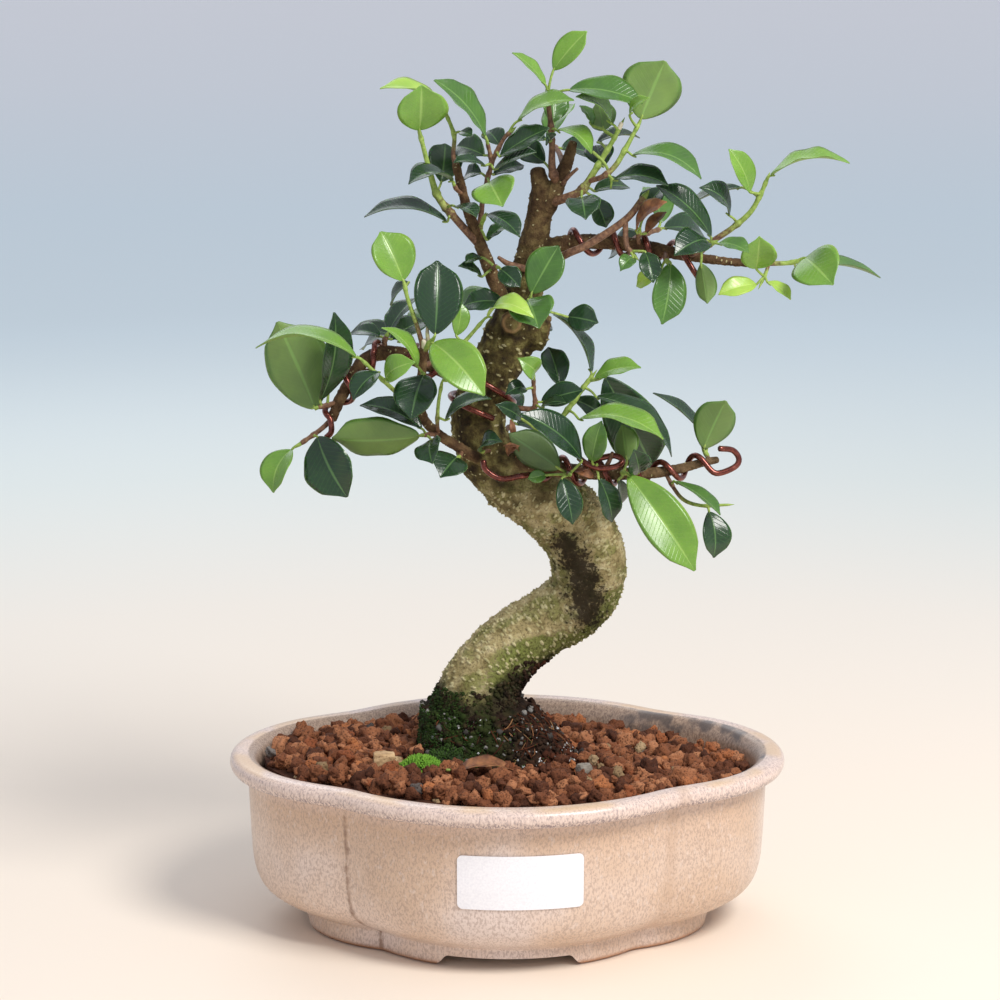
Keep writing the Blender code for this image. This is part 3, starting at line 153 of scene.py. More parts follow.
# %% The finish class
class Finish:
    """One material, built up node by node."""

    def __init__(self, name, roughness, **sockets):
        self.material = bpy.data.materials.new(name)
        self.material.use_nodes = True
        self.tree = self.material.node_tree
        self.shader = self.tree.nodes["Principled BSDF"]
        self.shader.inputs["Roughness"].default_value = roughness
        for socket, value in sockets.items():
            self.shader.inputs[socket.replace("_", " ")].default_value = value
        self.place = self.node("ShaderNodeTexCoord").outputs["Object"]

    def node(self, kind, **settings):
        made = self.tree.nodes.new(kind)
        for key, value in settings.items():
            setattr(made, key, value)
        return made

    def feed(self, socket, value):
        if isinstance(value, bpy.types.NodeSocket):
            self.tree.links.new(value, socket)
        elif isinstance(value, tuple):
            socket.default_value = (*value, 1.0)[: len(socket.default_value)]
        else:
            socket.default_value = value

    def stretched(self, stretch):
        scaled = self.node("ShaderNodeMapping")
        self.feed(scaled.inputs["Vector"], self.place)
        scaled.inputs["Scale"].default_value = stretch
        return scaled.outputs["Vector"]

    def cloud(self, size, detail=3.0, rough=0.5, stretch=None):
        """Noise whose lumps are about size millimetres."""
        made = self.node("ShaderNodeTexNoise")
        self.feed(made.inputs["Vector"], self.stretched(stretch) if stretch else self.place)
        made.inputs["Scale"].default_value = 1.0 / (size * MM)
        made.inputs["Detail"].default_value = detail
        made.inputs["Roughness"].default_value = rough
        return made.outputs["Fac"]

    def cells(self, size):
        """Distance from scattered points about size millimetres apart."""
        made = self.node("ShaderNodeTexVoronoi")
        self.feed(made.inputs["Vector"], self.place)
        made.inputs["Scale"].default_value = 1.0 / (size * MM)
        return made.outputs["Distance"]

    def along(self, axis):
        """Millimetres along X, Y or Z from the middle of the whole model, and up from the table."""
        split = self.node("ShaderNodeSeparateXYZ")
        self.feed(split.inputs[0], self.place)
        return self.calc("DIVIDE", split.outputs[axis], MM)

    def painted(self, name):
        return self.node("ShaderNodeAttribute", attribute_name=name).outputs["Fac"]

    def calc(self, operation, first, second=0.0):
        made = self.node("ShaderNodeMath", operation=operation)
        self.feed(made.inputs[0], first)
        self.feed(made.inputs[1], second)
        return made.outputs[0]

    def step(self, low, high, value):
        """0 up to low and 1 from high on, or the other way round if low is above high."""
        made = self.node("ShaderNodeMapRange", interpolation_type="SMOOTHSTEP")
        self.feed(made.inputs["Value"], value)
        ends = (low, high, 0.0, 1.0) if low < high else (high, low, 1.0, 0.0)
        for key, number in zip(("From Min", "From Max", "To Min", "To Max"), ends):
            made.inputs[key].default_value = number
        return made.outputs["Result"]

    def both(self, first, second):
        return self.calc("MULTIPLY", first, second)

    def broken(self, value, lumps, spread):
        """A number that noise pushes up and down, so that no border stays a clean line."""
        return self.calc("ADD", value, self.both(self.calc("SUBTRACT", lumps, 0.5), spread))

    def ramp(self, value, *stops):
        """Colours at stated values, blended between."""
        made = self.node("ShaderNodeValToRGB")
        self.feed(made.inputs["Fac"], value)
        row = made.color_ramp.elements
        while len(row) < len(stops):
            row.new(0.5)
        for element, (place, colour) in zip(row, sorted(stops)):
            element.position = place
            element.color = (*colour, 1.0)
        return made.outputs["Color"]

    def shades(self, value, *stops):
        """A ramp whose stops are a value and a chart colour: value, red, green, blue."""
        return self.ramp(value, *((stop[0], paint(*stop[1:])) for stop in stops))

    def mix(self, share, first, second):
        made = self.node("ShaderNodeMix", data_type="RGBA")
        self.feed(made.inputs[0], share)
        self.feed(made.inputs[6], first)
        self.feed(made.inputs[7], second)
        return made.outputs[2]

    def bumpy(self, height, depth, strength):
        """Relief about depth millimetres high."""
        made = self.node("ShaderNodeBump")
        self.feed(made.inputs["Height"], height)
        made.inputs["Distance"].default_value = depth * MM
        made.inputs["Strength"].default_value = strength
        self.feed(self.shader.inputs["Normal"], made.outputs["Normal"])

    def colour(self, value):
        self.tone = value
        self.feed(self.shader.inputs["Base Color"], value)

    def cover(self, colour, mask, share=1.0):
        """Lay a colour over the others where the mask is, at a share of its strength."""
        mask = mask if share == 1.0 else self.both(mask, share)
        self.colour(self.mix(mask, self.tone, colour))

    def rough(self, value):
        self.feed(self.shader.inputs["Roughness"], value)


print("kinds of layer", [name for name in vars(Finish) if name[0] != "_"])


# %% Lights and room
TREE_MIDDLE = (0.0, 0.0, 140.0)
ROOM_TINT, ROOM_LIGHT = (0.85, 0.89, 1.0, 1.0), 0.66


def soft_box(name, place, size, power, tint):
    """A round lamp at a place in millimetres, turned to the middle of the tree."""
    lamp = bpy.data.lights.new(name, "AREA")
    lamp.shape = "DISK"
    lamp.size = size
    lamp.energy = power
    lamp.color = tint
    box = put_in_scene(name, lamp)
    box.location = in_frame(place)
    box.rotation_euler = (Vector(TREE_MIDDLE) - Vector(place)).to_track_quat("-Z", "Y").to_euler()


soft_box("key_box", (560, -640, 1000), 0.5, 14.0, (1.0, 0.98, 0.95))
soft_box("back_box", (-300, 900, 900), 0.8, 2.5, (0.93, 0.97, 1.0))
room = bpy.data.worlds.new("pale_room")
room.use_nodes = True
room.node_tree.nodes["Background"].inputs["Color"].default_value = ROOM_TINT
room.node_tree.nodes["Background"].inputs["Strength"].default_value = ROOM_LIGHT
bpy.context.scene.world = room
print("lamps", [lamp.name for lamp in bpy.data.lights])

# %% The table
TABLE_RADIUS, TABLE_POINTS, TABLE_TOP = 40000.0, 96, -0.2
table_mesh = bpy.data.meshes.new("pale_table")
turns = np.linspace(0, math.tau, TABLE_POINTS + 1)[:-1]
ring = [(TABLE_RADIUS * math.cos(a), TABLE_RADIUS * math.sin(a), TABLE_TOP) for a in turns]
table_mesh.from_pydata(in_frame(ring).tolist(), [], [list(range(TABLE_POINTS))])
table = put_in_scene("pale_table", table_mesh)
cloth = Finish("table_paper_painted_light", 0.7)
away = cloth.node("ShaderNodeVectorMath", operation="LENGTH")
cloth.feed(away.inputs[0], cloth.place)
reach = cloth.step(-0.75, 1.3, cloth.calc("LOGARITHM", away.outputs["Value"], 10.0))
# This ramp is painted light: a warm pale pool of lamp light near the pot, cooler light further out.
cloth.colour(cloth.ramp(
    reach, (0.0, (0.86, 0.75, 0.63)), (0.12, (0.86, 0.79, 0.69)), (0.26, (0.80, 0.84, 0.79)),
    (0.44, (0.82, 0.93, 0.95)), (0.62, (0.84, 0.95, 0.98)), (0.84, (0.94, 0.97, 0.98)),
    (1.0, (0.98, 0.98, 0.98))))
table_mesh.materials.append(cloth.material)
print("table radius", TABLE_RADIUS / 1000, "m")

# %% [markdown]
# ## Gathering rings of points into a piece
# Nearly everything here is a stack of rings: the pot's levels, a stem's sections, a leaf's ribs. One
# class gathers any number of such stacks into a single mesh. It also keeps numbers painted on the
# points, such as how far across a leaf a point lies, which the finishes read later. Painted numbers
# are better than a projected texture here, because they follow each leaf however it turns.


# %% The skin class
def ring_faces(rows, columns):
    """Faces round a stack of rings, closed by one face at each end."""
    faces = []
    for r in range(rows - 1):
        for c in range(columns):
            a, b = r * columns + c, r * columns + (c + 1) % columns
            faces.append((a, b, b + columns, a + columns))
    last = (rows - 1) * columns
    return [*faces, tuple(range(columns)), tuple(last + c for c in range(columns))]


class Skin:
    """Closed stacks of rings in one mesh."""

    def __init__(self):
        self.points, self.faces, self.parts, self.paints = [], [], [], []
        self.count = 0

    def add(self, points, faces, part=0, **paints):
        points = np.asarray(points, float).reshape(-1, 3)
        self.faces += [tuple(i + self.count for i in face) for face in faces]
        self.parts += [part] * len(faces)
        self.points.append(points)
        self.paints.append((len(points), paints))
        self.count += len(points)

    def stack(self, rings, part=0, **paints):
        self.add(np.concatenate([np.asarray(r, float) for r in rings]),
                 ring_faces(len(rings), len(rings[0])), part, **paints)

    def mesh(self, name, turned=True):
        """The finished mesh. turned makes every face look outwards, which carved shapes do already."""
        made = bpy.data.meshes.new(name)
        made.from_pydata(in_frame(np.concatenate(self.points)).tolist(), [], self.faces)
        if turned:
            bm = bmesh.new()
            bm.from_mesh(made)
            bmesh.ops.recalc_face_normals(bm, faces=bm.faces)
            bm.to_mesh(made)
            bm.free()
        made.polygons.foreach_set("material_index", self.parts)
        for key in sorted({key for _, paints in self.paints for key in paints}):
            rows = [np.broadcast_to(np.asarray(paints.get(key, 0.0), float).reshape(-1), (count,))
                    for count, paints in self.paints]
            field = made.attributes.new(key, "FLOAT", "POINT")
            field.data.foreach_set("value", np.concatenate(rows).astype(np.float32))
        made.shade_smooth()
        return made


def piece(name, mesh, materials, slot, *nodes, sharp=None):
    """A finished mesh as a piece that rides on the object and stands for these nodes of the model."""
    for material in materials:
        mesh.materials.append(material)
    if sharp:
        mesh.set_sharp_from_angle(angle=math.radians(sharp))
    made = put_in_scene(name, mesh)
    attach(made, "root")
    if nodes:
        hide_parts(*nodes)


print("a stack of 3 rings of 8 points has", len(ring_faces(3, 8)), "faces")


# %% [markdown]
# ## The pot: four lobes, a rolled lip and a cut foot
# The real pot is pressed in a mould, so its outline is the same four arcs at every height, drawn in
# towards the foot and swelling to the lip. A lathe can't make it, because it isn't round. The outline
# is therefore computed once as four arcs of equally spaced points and lofted through a profile. Where
# two arcs meet, clay and glaze soften the corner, more at the thick lip than on the wall, and a few
# passes of averaging along each ring do the same here.

# %% Outline and profile of the pot
FOOT_LENGTH, FOOT_WIDTH, FOOT_HEIGHT = 140.0, 114.0, 7.0
FRONT_GAP, SIDE_GAP, GAP_HEIGHT, GAP_SLOPE = 40.0, 26.0, 3.8, 4.0
WALL, LIP_HEIGHT, LIP_OVERHANG = 5.0, 6.5, 6.5
FLOOR_UNDERSIDE, FLOOR_TOP, FLOOR_FILLET = 4.5, 9.5, 4.0
NOTCH_ALONG, NOTCH_ACROSS = 0.60, 0.667
LIP_BOTTOM = POT_HEIGHT - LIP_HEIGHT
BELLY = [(0.0, 0.0), (0.03, 0.2), (0.08, 0.5), (0.16, 0.76), (0.30, 0.90), (0.52, 0.95), (1.0, 1.0)]
SIDE_POINTS, FRONT_POINTS = 52, 84


def body_half(z):
    """Half length and half width of the pot's outside between the foot band and the lip."""
    up = min(max((z - FOOT_HEIGHT) / (LIP_BOTTOM - FOOT_HEIGHT), 0.0), 1.0)
    share = float(np.interp(up, *zip(*BELLY)))
    top = (POT_LENGTH / 2 - LIP_OVERHANG, POT_WIDTH / 2 - LIP_OVERHANG)
    foot = (FOOT_LENGTH / 2, FOOT_WIDTH / 2)
    return tuple(f + share * (t - f) for f, t in zip(foot, top))


def inner_half(z):
    """Half length and half width of the basin, which rounds in towards its floor."""
    corner = FLOOR_FILLET * max(0.0, 1.0 - (z - FLOOR_TOP) / FLOOR_FILLET)
    return tuple(half - WALL - corner for half in body_half(z))


def lobes(half_length, half_width, z, soften):
    """One level: four arcs that meet in notches, and their corners softened."""
    notch_x, notch_y = NOTCH_ALONG * half_length, NOTCH_ACROSS * half_width
    rise, depth = half_length - notch_x, half_width - notch_y
    side_radius = (notch_y**2 + rise**2) / (2 * rise)
    front_radius = (notch_x**2 + depth**2) / (2 * depth)
    side = math.asin(notch_y / side_radius) * (2 * np.arange(SIDE_POINTS) / SIDE_POINTS - 1)
    front = math.asin(notch_x / front_radius) * (1 - 2 * np.arange(FRONT_POINTS) / FRONT_POINTS)
    x = np.concatenate([half_length - side_radius * (1 - np.cos(side)), front_radius * np.sin(front)])
    y = np.concatenate([side_radius * np.sin(side), half_width - front_radius * (1 - np.cos(front))])
    ring = np.column_stack([np.concatenate([x, -x]), np.concatenate([y, -y]), np.full(2 * len(x), z)])
    for _ in range(soften):
        ring = 0.5 * ring + 0.25 * (np.roll(ring, 1, axis=0) + np.roll(ring, -1, axis=0))
    return ring


print("outline points", len(lobes(*body_half(LIP_BOTTOM), LIP_BOTTOM, 1)))

# %% [markdown]
# The profile runs from under the floor, over the foot and the belly, round the lip and down inside. It
# is a list of levels, each with its half sizes, thickened with in-between levels so that the lip rolls
# smoothly. The foot ring is cut open at the middle of each side, which lets water out: its lowest
# levels are simply lifted there.


# %% Levels of the pot
def spans(points):
    """Each stretch between two points, with the point before it and the one after it."""
    ends = [2 * points[0] - points[1], *points, 2 * points[-1] - points[-2]]
    return zip(ends, ends[1:], ends[2:], ends[3:])


def spline(before, a, b, after, t):
    """A point of the smooth curve from a to b (Catmull-Rom), at a share t of the way."""
    return 0.5 * (2 * a + t * (b - before) + t * t * (2 * before - 5 * a + 4 * b - after)
                  + t**3 * (3 * a - before - 3 * b + after))


def between(rows, parts):
    """Rows of numbers with smooth in-between rows."""
    rows = [np.asarray(row, float) for row in rows]
    return [*(spline(*span, t) for span in spans(rows) for t in np.arange(parts) / parts), rows[-1]]


FOOT = [(10, FLOOR_UNDERSIDE), (9.4, 1.0), (8.6, 0.2), (7.5, 0.0), (2.2, 0.0), (0.7, 0.25), (0, 1.0),
        (0, 3.0), (0, 5.2)]
LIP = [(5.0, 0.02), (2.6, 0.03), (1.0, 0.14), (0.1, 0.36), (0.0, 0.58), (0.5, 0.80), (2.0, 0.96),
       (4.4, 1.0), (6.6, 0.96), (8.4, 0.80), (9.8, 0.50)]
foot = [(FOOT_LENGTH / 2 - inset, FOOT_WIDTH / 2 - inset, z) for inset, z in FOOT]
belly = [(*body_half(z), z) for z in (FOOT_HEIGHT + up * (LIP_BOTTOM - FOOT_HEIGHT) for up, _ in BELLY)]
lip = [(POT_LENGTH / 2 - inset, POT_WIDTH / 2 - inset, LIP_BOTTOM + up * LIP_HEIGHT) for inset, up in LIP]
inside = [(*inner_half(z), z) for z in (LIP_BOTTOM - 3.0, 40.0, 25.0, 14.0, 11.0, FLOOR_TOP)]
levels = [*foot, *between([foot[-1], *belly], 5)[1:-1], *between([belly[-1], *lip], 3)[1:-1],
          *between([lip[-1], *inside], 3)]


def pot_rings():
    """The level rings, and for each point how far it belongs to the lip."""
    rings, rims = [], []
    for half_length, half_width, z in levels:
        rim = blend(LIP_BOTTOM - 2, LIP_BOTTOM + 1, z)
        ring = lobes(half_length, half_width, z, 2 + int(16 * rim))
        if len(rings) < len(foot):
            x, y = np.abs(ring[:, 0]), np.abs(ring[:, 1])
            front, end = y > NOTCH_ACROSS * half_width, x > NOTCH_ALONG * half_length
            arch = np.maximum(np.where(front, blend(FRONT_GAP / 2 + GAP_SLOPE, FRONT_GAP / 2, x), 0.0),
                              np.where(end, blend(SIDE_GAP / 2 + GAP_SLOPE, SIDE_GAP / 2, y), 0.0))
            ring[:, 2] = np.maximum(z, arch * (GAP_HEIGHT + 0.12 * z))
        rings.append(ring)
        rims.append(np.full(len(ring), rim))
    return rings, rims


print("levels in the pot", len(levels))

# %% [markdown]
# The drain holes go through the floor after the loft, with an exact Boolean, because the floor is one
# flat face and two clean round holes are all it needs.


# %% Loft, drill and paint the pot
def drilled(mesh, centres, radius, depth):
    """The mesh with round holes along z, at these places in millimetres."""
    shell = put_in_scene("pot_shell", mesh)
    for place in centres:
        bm = bmesh.new()
        bmesh.ops.create_cone(bm, cap_ends=True, segments=48, radius1=radius * MM, radius2=radius * MM,
                              depth=depth * MM)
        bm.transform(Matrix.Translation(in_frame(place)))
        drill_mesh = bpy.data.meshes.new("drill")
        bm.to_mesh(drill_mesh)
        bm.free()
        cut = shell.modifiers.new("hole", "BOOLEAN")
        cut.operation, cut.solver, cut.object = "DIFFERENCE", "EXACT", put_in_scene("drill", drill_mesh)
    graph = bpy.context.evaluated_depsgraph_get()
    result = bpy.data.meshes.new_from_object(shell.evaluated_get(graph))
    for used in [shell, *(cut.object for cut in shell.modifiers)]:
        bpy.data.objects.remove(used, do_unlink=True)
    return result


DRAIN_X, DRAIN_RADIUS, DRILL_DEPTH = 34.0, 6.0, 14.0
rings, rims = pot_rings()
lip_top = next(k for k, level in enumerate(levels) if level[2] >= POT_HEIGHT - 0.01)
corners = np.array([[sx * NOTCH_ALONG, sy * NOTCH_ACROSS] for sx in (-1, 1) for sy in (-1, 1)])
to_notch = []
for ring in rings:
    half = np.abs(ring[:, :2]).max(axis=0)
    to_notch.append(np.min([np.hypot(*(ring[:, :2] - corner * half).T) for corner in corners], axis=0))
inner = np.repeat(np.arange(len(rings)) > lip_top + 2, len(rings[0])).astype(float)
pot_skin = Skin()
pot_skin.stack(rings, rim=np.concatenate(rims), notch=np.concatenate(to_notch), inner=inner)
drains = [(side * DRAIN_X, 0, FLOOR_TOP / 2 + 2) for side in (-1, 1)]
pot_mesh = drilled(pot_skin.mesh("glazed_pot"), drains, DRAIN_RADIUS, DRILL_DEPTH)
print("pot faces", len(pot_mesh.polygons))

# %% [markdown]
# ## The glaze
# This is a matt ash glaze over buff clay: pinkish beige, tanner under the lip where it ran thin, with
# a fine grey-brown fleck drawn out downwards by the firing. On the lip it broke to a lilac grey, the
# notches show the brown clay, and the foot is bare. Each of those is one mask times one colour. The
# fleck is noise stretched upright, and a coarser noise decides where it is dense.

# %% Glaze graph
glaze = Finish("ash_glaze", 0.34, Coat_Weight=0.25, Coat_Roughness=0.22)
rim, near_notch, within = glaze.painted("rim"), glaze.painted("notch"), glaze.painted("inner")
up, along = glaze.along("Z"), glaze.along("X")
drift, fine = glaze.cloud(38, 2.0), glaze.cloud(0.5, 2.0, 0.6)
fleck = glaze.cloud(0.62, 4.0, 0.7, (1.0, 1.0, 0.5))
glaze.colour(glaze.shades(drift, (0.36, 224, 206, 196), (0.50, 220, 196, 178), (0.66, 209, 180, 155)))
thin = glaze.both(glaze.step(28, 51, up), glaze.step(0.25, 0.60, drift))
glaze.cover(paint(207, 175, 148), thin)
spots = glaze.step(0.49, 0.62, glaze.calc("ADD", fleck, glaze.both(glaze.cloud(14, 2.0), 0.06)))
glaze.cover(paint(160, 135, 122), spots, 0.55)
pale = glaze.step(0.55, 0.68, glaze.cloud(1.5, 4.0, 0.65, (1.0, 1.0, 0.55)))
glaze.cover(paint(228, 212, 202), pale, 0.42)

lip_tone = glaze.shades(fleck, (0.38, 228, 207, 194), (0.52, 214, 190, 177), (0.64, 168, 150, 146))
edge = glaze.both(glaze.step(57.4, 59.0, up), glaze.step(0.42, 0.62, glaze.cloud(22, 2.0)))
lip_tone = glaze.mix(glaze.both(edge, 0.7), lip_tone, paint(214, 180, 138))
crease = glaze.both(glaze.step(51.4, 53.0, up), glaze.step(56.0, 53.6, up))
lip_tone = glaze.mix(glaze.both(crease, glaze.step(0.42, 0.60, fleck)), lip_tone, paint(140, 124, 126))
glaze.cover(lip_tone, rim)

seam = glaze.step(2.5, 1.1, glaze.calc("ADD", near_notch, glaze.both(glaze.cloud(2.5, 3.0), 2.0)))
seam = glaze.both(glaze.both(seam, 0.8), glaze.step(20, -50, along))
glaze.cover(paint(120, 84, 62), glaze.both(seam, glaze.calc("SUBTRACT", 1.0, rim)))
faint_seam = glaze.both(glaze.step(4.0, 0.5, near_notch), glaze.step(20, 50, along))
glaze.cover(paint(182, 150, 124), faint_seam, 0.45)
# Inside the basin the glaze is painted darker tan-brown: painted shade inside the pot.
glaze.cover(glaze.shades(fleck, (0.4, 178, 152, 130), (0.62, 126, 104, 88)), within, 0.9)
blot = glaze.both(glaze.step(0.50, 0.62, glaze.cloud(13, 3.0)), glaze.step(0.0, 40, along))
glaze.cover(paint(84, 76, 74), glaze.both(blot, within), 0.85)
glaze.cover(paint(172, 118, 78), glaze.step(2.6, 0.8, glaze.calc("ADD", up, fine)))
glaze.rough(glaze.calc("ADD", glaze.both(fleck, 0.35), 0.16))
glaze.bumpy(glaze.calc("ADD", glaze.cloud(1.1, 4.0, 0.6), glaze.both(glaze.cloud(7, 2.0), 1.6)), 0.10, 0.6)
piece("glazed_pot", pot_mesh, [glaze.material], "glaze", "pot", sharp=50)
print("nodes in the glaze", len(glaze.tree.nodes))

# %% [markdown]
# ## The sticker and the drain screens
# A grower's sticker is a rectangle of coated paper with rounded corners, pressed onto the curved wall.
# It is left blank here. Built as upright slices that follow the wall's arc, it bends with the pot, and
# shortening the first and last slices rounds its corners. The screens that keep the soil in are
# squares of woven plastic: strands running over and under each other, as two families of wavy tubes.


# %% Sticker
def front_wall(x, z):
    """The y of the pot's front face."""
    half_length, half_width = body_half(z)
    notch_x, depth = NOTCH_ALONG * half_length, (1 - NOTCH_ACROSS) * half_width
    radius = (notch_x**2 + depth**2) / (2 * depth)
    return -(half_width - radius + math.sqrt(radius**2 - x**2))


LABEL_LENGTH, LABEL_TALL, LABEL_CORNER = 40.7, 18.1, 1.8
LABEL_X, LABEL_Z = 3.7, 33.4
LABEL_FACE, LABEL_BACK = 0.55, 0.32


def sticker():
    """Upright slices of the label, from its left end to its right."""
    turn = [LABEL_CORNER * (1 - math.cos(a)) for a in np.linspace(0.12, math.pi / 2, 8)]
    along = [*turn, *np.linspace(LABEL_CORNER, LABEL_LENGTH - LABEL_CORNER, 30)[1:-1],
             *(LABEL_LENGTH - t for t in reversed(turn))]
    slices = []
    for a in along:
        x = LABEL_X - LABEL_LENGTH / 2 + a
        short = max(LABEL_CORNER - min(a, LABEL_LENGTH - a), 0.0)
        cut = LABEL_CORNER - math.sqrt(LABEL_CORNER**2 - short**2)
        heights = LABEL_Z + np.linspace(-1, 1, 12) * (LABEL_TALL / 2 - cut)
        slices.append([*((x, front_wall(x, z) - LABEL_FACE, z) for z in heights),
                       *((x, front_wall(x, z) - LABEL_BACK, z) for z in heights[::-1])])
    skin = Skin()
    skin.stack(slices)
    return skin.mesh("blank_label")


paper = Finish("coated_paper", 0.42, Coat_Weight=0.15)
fibre = paper.cloud(0.7, 4.0, 0.6)
paper.colour(paper.shades(fibre, (0.3, 232, 231, 236), (0.7, 246, 245, 248)))
paper.bumpy(fibre, 0.02, 0.4)
piece("blank_label", sticker(), [paper.material], "sticker", "label", sharp=35)
print("label", LABEL_LENGTH, "x", LABEL_TALL, "mm")


# %% Tubes, for strands, stems, roots and wires
DOME = ((0.0, 1.0), (0.28, 0.75), (0.42, 0.35))


def tube_rings(path, sides, domed=True):
    """Round sections along a path of x, y, z, radius, turned as little as possible, with domed ends."""
    path = [Vector(p) for p in path]
    rings, side = [], None
    around = [math.tau * k / sides for k in range(sides)]
    for k, here in enumerate(path):
        along = (path[min(k + 1, len(path) - 1)] - path[max(k - 1, 0)]).xyz.normalized()
        side = side or along.orthogonal()
        side = (side - side.dot(along) * along).normalized()
        other = along.cross(side)
        shifts = DOME[:1]
        if domed and k == 0:
            shifts = [(-out, share) for out, share in reversed(DOME)]
        elif domed and k == len(path) - 1:
            shifts = DOME
        for out, share in shifts:
            centre, reach = here.xyz + along * out * here.w, here.w * share
            rings.append([centre + reach * (math.cos(a) * side + math.sin(a) * other) for a in around])
    return rings


SCREEN_SIDE, SCREEN_Z = 20.0, FLOOR_TOP + 0.8
STRANDS, STRAND_RADIUS, STRAND_WAVE, EDGE_STRIP = 10, 0.3, 0.16, 0.4


def screen(centre_x):
    """Strands both ways, each running over and under the ones that it crosses."""
    skin = Skin()
    pitch = (SCREEN_SIDE - 2 * EDGE_STRIP) / (STRANDS - 1)
    half = SCREEN_SIDE / 2
    for k in range(STRANDS):
        across = -half + EDGE_STRIP + k * pitch
        for turned in (0, 1):
            path = []
            for s in np.linspace(-half + STRAND_RADIUS, half - STRAND_RADIUS, 60):
                turns = (s + half - EDGE_STRIP) / pitch + k + turned
                x, y = (across, s) if turned else (s, across)
                wave = STRAND_WAVE * math.cos(math.pi * turns)
                path.append((centre_x + x, y, SCREEN_Z + wave, STRAND_RADIUS))
            skin.stack(tube_rings(path, 6))
    return skin.mesh("drain_screen")


plastic = Finish("black_plastic", 0.45)
plastic.colour(plastic.shades(plastic.cloud(2.0), (0.3, 28, 28, 28), (0.7, 52, 50, 48)))
plastic.bumpy(plastic.cloud(0.4), 0.03, 0.4)
for side, word in ((-1, "left"), (1, "right")):
    piece("woven_screen_" + word, screen(side * DRAIN_X), [plastic.material], "plastic_mesh",
          "drain_screen_" + word)
print("strands in a screen", 2 * STRANDS)

# %% [markdown]
# ## Lava granules
# The soil is sieved lava: lumpy, pitted grains of three to eight millimetres, fired brick red, with a
# few tan, orange and grey ones among them. Dropping hundreds of rigid bodies would take minutes and
# land anywhere, so the grains are set out instead, in three loose layers over the model's soil surface,
# on a jittered honeycomb grid. Each is one of a set of carved shapes, turned, squashed and scaled.


# %% Carved grain shapes
BALL_X, BALL_LENGTH, BALL_WIDTH = -3.0, 56.0, 51.0
SOIL_BELOW_RIM, SOIL_HEAP, HEAP_REACH = 6.5, 5.0, 42.0
draw = np.random.default_rng(41)


def soil_height(x, y):
    """The soil's surface: heaped round the root ball and a little lower to the right and the back."""
    away = np.hypot(x - BALL_X, y)
    heap = SOIL_HEAP * np.exp(-((away / HEAP_REACH) ** 2))
    return POT_HEIGHT - SOIL_BELOW_RIM - 3.0 * x / 80 - 2.5 * y / 60 + heap


def carved(seed, rounds=3, lumps=0.62, pits=0.16):
    """The points and faces of a lumpy grain about one unit across."""
    bm = bmesh.new()
    bmesh.ops.create_icosphere(bm, subdivisions=rounds, radius=0.5)
    shift = Vector((seed * 7.3, seed * 3.1, seed * 5.7))
    for vertex in bm.verts:
        spot = vertex.co * 2
        swell = 1 + lumps * noise.noise(spot * 1.1 + shift) + 0.5 * lumps * noise.noise(spot * 2.3 - shift)
        near = noise.voronoi(spot * 2.6 + shift)[0][0]
        vertex.co *= swell + pits * (1 - 2.2 * near)
    points = np.array([v.co for v in bm.verts])
    faces = [tuple(v.index for v in f.verts) for f in bm.faces]
    bm.free()
    return points, faces


def turned_any_way(points):
    spin = Quaternion(draw.normal(size=4)).normalized().to_matrix()
    return points @ np.array(spin).T


GRAIN_SHAPES = [carved(seed + 0.37) for seed in range(26)]
print("grain shapes", len(GRAIN_SHAPES), "of", len(GRAIN_SHAPES[0][0]), "points")

# %% Lay the grains
wall_ring = lobes(*inner_half(LIP_BOTTOM - 1.0), 0.0, 4)
wall_angle = np.arctan2(wall_ring[:, 1], wall_ring[:, 0])
order = np.argsort(wall_angle)
wall_angle, wall_reach = wall_angle[order], np.hypot(*wall_ring[order][:, :2].T)


def room_to_wall(x, y):
    """How far a place is from the pot's inner wall."""
    reach = np.interp(math.atan2(y, x), wall_angle, wall_reach, period=math.tau)
    return float(reach - math.hypot(x, y))


def to_ball(x, y):
    """Below 1 inside the root ball's outline."""
    return math.hypot((x - BALL_X) / (BALL_LENGTH / 2), y / (BALL_WIDTH / 2))


def middle_of(node):
    """The middle of a node's box, in millimetres."""
    low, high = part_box(node)
    return (np.array(low + high) / 2 - UNDER_POT) / MM


KEPT_CLEAR = [(*middle_of(node)[:2], radius) for node, radius in (
    ("moss_patch", 6.8), ("stone_left", 4.2), ("stone_right", 2.8), ("fallen_leaf", 3.2))]
LAYERS = ((4.2, -1.2, 5.0), (4.8, 1.2, 4.7), (6.8, 3.0, 4.2))
RED, ORANGE, TAN, GREY = 0.0, 1.0, 2.0, 3.0


